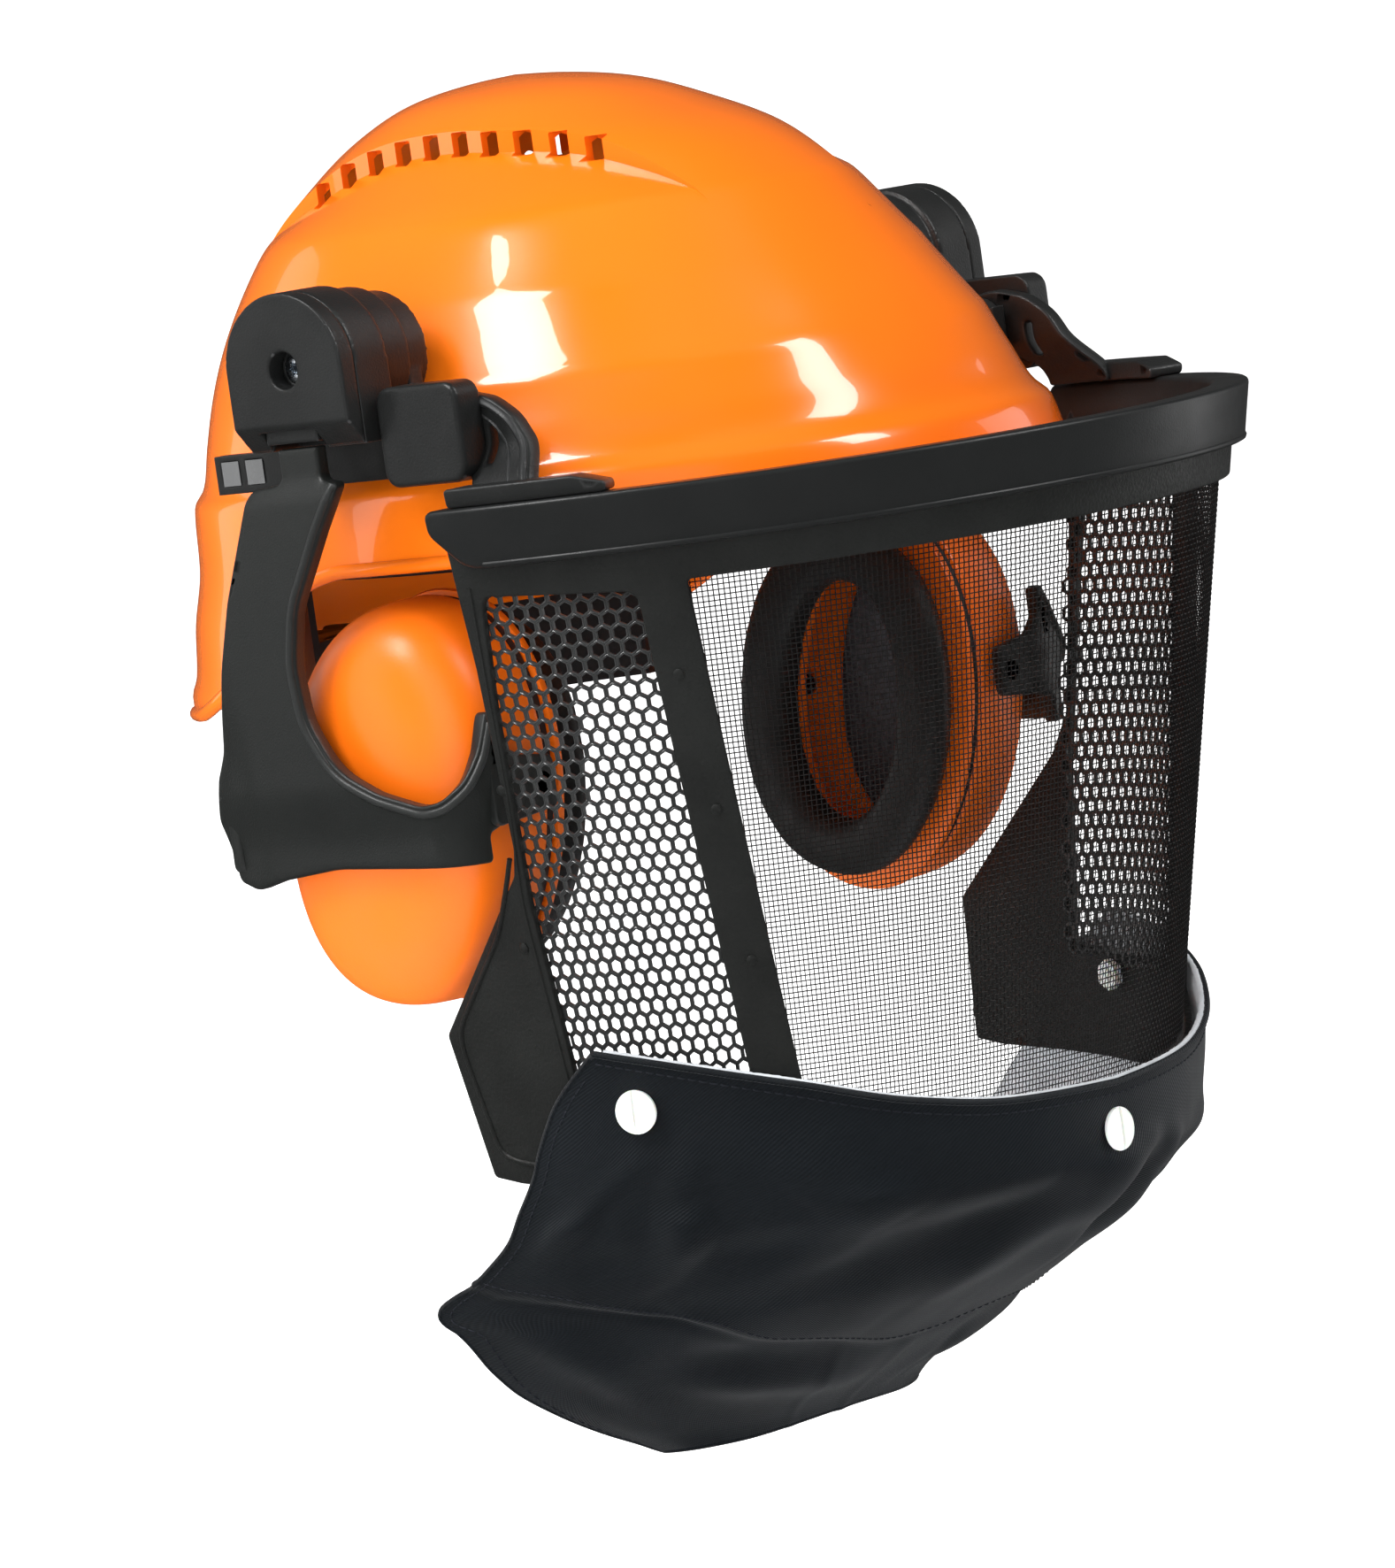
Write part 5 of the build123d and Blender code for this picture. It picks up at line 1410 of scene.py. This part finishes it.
ob = mesh_object("ear_cushion_right_pad", *cushion(), M_CUSHION, "cup_right", "cushion_black", None,
                 ("ear_cushion_right",))
fix_normals(ob)
ob2 = mirrored(ob, "ear_cushion_left_pad", "cup_left", None, ("ear_cushion_left",))

# foam liner: a crowned pad of open foam
rows = []
for k in range(14):
    a = math.pi / 2 * k / 13
    rows.append((106.2 + 2.6 * (1 - math.cos(a)) ** 1.0, 23.8 * math.sin(a) ** 0.5 if k else 0.3,
                 40.8 * math.sin(a) ** 0.5 if k else 0.5))
rows += [(110.5, 24.0, 41.0), (115, 23.9, 40.9), (117.6, 22.6, 39.6), (117.9, 20, 37)]
v, f = lathe(rows, 96, close_first=True)
rr = np.random.default_rng(11)
v = v + rr.normal(0, 0.09, v.shape)
ob = mesh_object("foam_liner_right_pad", v, f, M_FOAM, "cup_right", "foam_grey", None, ("foam_liner_right",))
fix_normals(ob)
ob2 = mirrored(ob, "foam_liner_left_pad", "cup_left", None, ("foam_liner_left",))

# ---------------------------------------------------------------- drum, clips, carriers and ratchet
for s in ("right", "left"):
    moulded(f"drum_cap_{s}", M_BLACK, f"drum_{s}", 0.42, 7)
    moulded(f"drum_housing_{s}", M_BLACK, f"drum_{s}", 0.5, 5)
    moulded(f"visor_clip_{s}", M_BLACK, "helmet", 0.42, 6)
    moulded(f"carrier_{s}", M_BLACK, "helmet", 0.5, 4)
    moulded(f"hinge_block_{s}", M_BLACK, f"hinge_{s}", 0.4, 3)
moulded("ratchet_housing", M_BLACK, "helmet", 0.55, 6)
moulded("ratchet_knob", M_BLACK, "fit_knob", 0.42, 4)
moulded("cradle_hangers", M_CRADLE, "helmet", 0.5, 4)

# ---------------------------------------------------------------- cradle
HB = (82.0, -95.0, 101.0)


def band_strip(off_in, off_out, zlo, zhi, bulge=0.0, count=260, y_max=None, wav=0.0, rows=18, z_fn=None):
    """A closed strip that follows the headband's oval."""
    ang = ring_angles(count)
    c, s_ = spow(np.cos(ang), 2 / SHELL_N), spow(np.sin(ang), 2 / SHELL_N)
    cy, b = (HB[1] + HB[2]) / 2, (HB[2] - HB[1]) / 2
    sel = np.ones(count, bool)
    if y_max is not None:
        sel = cy + b * s_ < y_max
    idx = np.where(sel)[0]
    closed = len(idx) == count
    if not closed:
        br = np.where(np.diff(idx) > 1)[0]
        if len(br):
            idx = np.concatenate([idx[br[0] + 1:], idx[:br[0] + 1]])
    verts = []
    n = len(idx)
    for k, i in enumerate(idx):
        taper = 1.0 if closed else float(smooth(min(k, n - 1 - k) / 6 + 0.25))
        for j in range(rows):
            a = 2 * math.pi * j / rows
            h, w = spow(math.cos(a), 2 / 4.5), spow(math.sin(a), 2 / 5.0)
            off = (off_in + off_out) / 2 + (off_out - off_in) / 2 * h * taper
            if h < 0:
                off -= bulge * (1 - abs(w)) * (1 + wav * math.sin(k * 0.9))
            z0, z1 = (zlo, zhi) if z_fn is None else z_fn((HB[0]) * c[i], cy + b * s_[i])
            z = (z0 + z1) / 2 + (z1 - z0) / 2 * w * (0.9 + 0.1 * taper)
            verts.append(((HB[0] + off) * c[i], cy + (b + off) * s_[i], z))
    f = []
    for k in range(n if closed else n - 1):
        m = (k + 1) % n
        for j in range(rows):
            l = (j + 1) % rows
            f.append((k * rows + j, m * rows + j, m * rows + l, k * rows + l))
    if not closed:
        f.append(tuple(range(rows)))
        f.append(tuple((n - 1) * rows + j for j in range(rows))[::-1])
    return np.array(verts), f


v, f = band_strip(0.0, 2.0, 10, 37)
ob = mesh_object("headband_moulded", v, f, M_CRADLE, "helmet", "cradle_black", 40, ("headband",))
fix_normals(ob)
v, f = band_strip(-3.9, -0.15, 8.2, 38.8, bulge=0.5, y_max=-25.5, wav=0.35)
ob = mesh_object("sweatband_pad", v, f, M_TERRY, "helmet", "sweat_terry", None, ("sweatband",))
fix_normals(ob)


def strap_reach(angle):
    ux, uy = math.cos(math.radians(angle)), math.sin(math.radians(angle))
    a, b = 86.6, 98 + 4.6
    return 1 / ((abs(ux) / a) ** SHELL_N + (abs(uy) / b) ** SHELL_N) ** (1 / SHELL_N)


def webbing(angle, top):
    reach = strap_reach(angle)
    ux, uy = math.cos(math.radians(angle)), math.sin(math.radians(angle))
    n, m = 120, 9
    verts, uv = [], []
    sect = [(-9, -0.35), (-8.6, 0.45), (-4.5, 0.6), (0, 0.62), (4.5, 0.6), (8.6, 0.45), (9, -0.35), (8.5, -0.55), (0, -0.6),
            (-8.5, -0.55)]
    for i in range(n):
        t = math.pi * i / (n - 1)
        r, h = reach - 0.6, top - 37.3 - 0.6
        cx, cz = r * math.cos(t), 37.3 + h * math.sin(t)
        nx, nz = math.cos(t) * h, math.sin(t) * r
        l = math.hypot(nx, nz)
        nx, nz = nx / l, nz / l
        for (w, k) in sect:
            d = cx + nx * k
            verts.append((d * ux - w * uy * -1 * -1, 3 + d * uy + w * ux, cz + nz * k))
            uv.append((w, i * 2.4))
    k = len(sect)
    f = []
    for i in range(n - 1):
        for j in range(k):
            l = (j + 1) % k
            f.append((i * k + j, (i + 1) * k + j, (i + 1) * k + l, i * k + l))
    f.append(tuple(range(k)))
    f.append(tuple((n - 1) * k + j for j in range(k))[::-1])
    return np.array(verts), f, np.array(uv)


for nm, ang, top in (("crown_strap_front_left", 58.0, 100.0), ("crown_strap_side", 0.0, 101.8),
                     ("crown_strap_front_right", -58.0, 103.6)):
    v, f, uv = webbing(ang, top)
    ob = mesh_object(nm + "_webbing", v, f, M_WEB, "helmet", "webbing", 40, (nm,), uv)
    fix_normals(ob)

# swivel screws: domed heads with a six-lobed socket
def swivel_screw(side):
    cnt = 48
    a = 2 * math.pi * np.arange(cnt) / cnt
    lobe = 1.75 + 0.42 * np.cos(6 * a)
    rows = [(2.5, 100.5), (2.5, 128.4), (4.15, 128.6), (4.2, 131.6), (4.0, 132.4), (3.4, 132.9), (2.6, 133.1)]
    v = [np.stack([np.full(cnt, h), 2.5 + r * np.cos(a), 71.5 + r * np.sin(a)], 1) for r, h in rows]
    for k, h in ((1.05, 133.1), (1.0, 132.9), (0.95, 131.2)):
        v.append(np.stack([np.full(cnt, h), 2.5 + k * lobe * np.cos(a), 71.5 + k * lobe * np.sin(a)], 1))
    v = np.concatenate(v) * [side, 1, 1]
    f = [(i * cnt + k, i * cnt + (k + 1) % cnt, (i + 1) * cnt + (k + 1) % cnt, (i + 1) * cnt + k)
         for i in range(9) for k in range(cnt)]
    return v, f + [tuple(range(cnt)), tuple(9 * cnt + k for k in range(cnt))]


ob = mesh_object("swivel_screw_heads", *join_parts([swivel_screw(-1), swivel_screw(1)]), M_ZINC, "helmet", "zinc_steel",
                 40, ("swivel_screws",))
fix_normals(ob)

# carried-over CAD nodes
keep = {"nape_strap": M_CRADLE, "tab_windows": M_CLEAR, "visor_pivot_pins": M_BLACK,
        "flap_nuts": M_NYLON, "hinge_pin_right": M_ZINC, "hinge_pin_left": M_ZINC, "cup_pins_right": M_ZINC,
        "cup_pins_left": M_ZINC}
for nm, m in keep.items():
    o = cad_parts[nm]
    o.data.materials.clear()
    o.data.materials.append(m)
    for p in o.data.polygons:
        p.material_index = 0

# ---------------------------------------------------------------- stage, light and camera
floor_z = -0.30
bm = bmesh.new()
nseg = 40
prof = [(-3.0, floor_z), (0.9, floor_z)] + [(0.9 + 0.9 * math.sin(a), floor_z + 0.9 * (1 - math.cos(a)))
                                            for a in np.linspace(0.05, math.pi / 2, 24)] + [(1.8, 3.5)]
rowsv = []
for x in (-4.0, 4.0):
    rowsv.append([bm.verts.new((x, y, z)) for y, z in prof])
for i in range(len(prof) - 1):
    bm.faces.new((rowsv[0][i], rowsv[1][i], rowsv[1][i + 1], rowsv[0][i + 1]))
me = bpy.data.meshes.new("sweep")
bm.to_mesh(me)
bm.free()
sweep = bpy.data.objects.new("sweep", me)
scene.collection.objects.link(sweep)
for p in me.polygons:
    p.use_smooth = True
m = bpy.data.materials.new("backdrop")
m.use_nodes = True
m.node_tree.nodes["Principled BSDF"].inputs["Base Color"].default_value = (0.93, 0.93, 0.93, 1)
m.node_tree.nodes["Principled BSDF"].inputs["Roughness"].default_value = 0.9
m.node_tree.nodes["Principled BSDF"].inputs["Emission Color"].default_value = (1, 1, 1, 1)
m.node_tree.nodes["Principled BSDF"].inputs["Emission Strength"].default_value = 0.75
me.materials.append(m)
sweep.visible_glossy = False

world = bpy.data.worlds.new("studio")
world.use_nodes = True
world.node_tree.nodes["Background"].inputs["Color"].default_value = (1, 1, 1, 1)
world.node_tree.nodes["Background"].inputs["Strength"].default_value = 0.06
scene.world = world
scene.view_settings.view_transform = "Standard"
scene.view_settings.look = "None"
scene.view_settings.exposure = 0.0
scene.view_settings.gamma = 1.0

az, el, roll = math.radians(-49.5), math.radians(5), math.radians(8)
D, FPX = 2500.0, 10250.0
back = Vector((math.sin(az) * math.cos(el), -math.cos(az) * math.cos(el), math.sin(el)))
fwd = -back
rt = fwd.cross(Vector((0, 0, 1))).normalized()
up = rt.cross(fwd)
r2 = rt * math.cos(roll) - up * math.sin(roll)
u2 = rt * math.sin(roll) + up * math.cos(roll)
dx, dy = (747 - 788.5) / FPX * D, -(640 - 886) / FPX * D
pos = (back * D - r2 * dx - u2 * dy) * MM
cam_data = bpy.data.cameras.new("cam")
cam = bpy.data.objects.new("cam", cam_data)
scene.collection.objects.link(cam)
cam.matrix_world = Matrix((
    (r2.x, u2.x, back.x, pos.x), (r2.y, u2.y, back.y, pos.y), (r2.z, u2.z, back.z, pos.z), (0, 0, 0, 1)))
cam_data.lens = FPX / 1772 * 36
cam_data.sensor_width = 36
cam_data.clip_start, cam_data.clip_end = 0.1, 20
scene.camera = cam


def softbox(name, direction, dist, size, power, look=(0, 0, 0.02), size_y=None, colour=(1, 1, 1)):
    """direction is (right, up, towards the camera) in the camera's own axes."""
    d = (r2 * direction[0] + u2 * direction[1] + back * direction[2]).normalized()
    light = bpy.data.lights.new(name, "AREA")
    light.shape = "RECTANGLE"
    light.size = size
    light.size_y = size_y or size
    light.energy = power
    light.color = colour
    o = bpy.data.objects.new(name, light)
    scene.collection.objects.link(o)
    o.location = Vector(look) + d * dist
    o.rotation_mode = "QUATERNION"
    o.rotation_quaternion = (Vector(look) - o.location).to_track_quat("-Z", "Y")
    return o


softbox("key_left", (-0.62, 0.60, 0.46), 1.5, 0.42, 15, size_y=0.60)
softbox("key_right", (0.63, 0.71, 0.31), 1.6, 0.42, 10, size_y=0.55)
softbox("strip_left", (-1.0, 0.05, 0.22), 1.5, 0.25, 1.6, size_y=1.1)
softbox("rim_right", (1.0, 0.2, -0.5), 1.6, 0.6, 3, size_y=1.2)
softbox("rim_left", (-1.0, 0.2, -0.6), 1.6, 0.6, 1.8, size_y=1.2)
# broad fills that leave no reflections of their own
for fill in (softbox("fill_front", (-0.25, 0.15, 1.0), 1.7, 1.3, 16), softbox("fill_top", (0.1, 1.0, 0.3), 1.5, 1.3, 11),
             softbox("fill_under", (-0.2, -1.0, 0.6), 1.5, 1.0, 1)):
    fill.visible_glossy = False
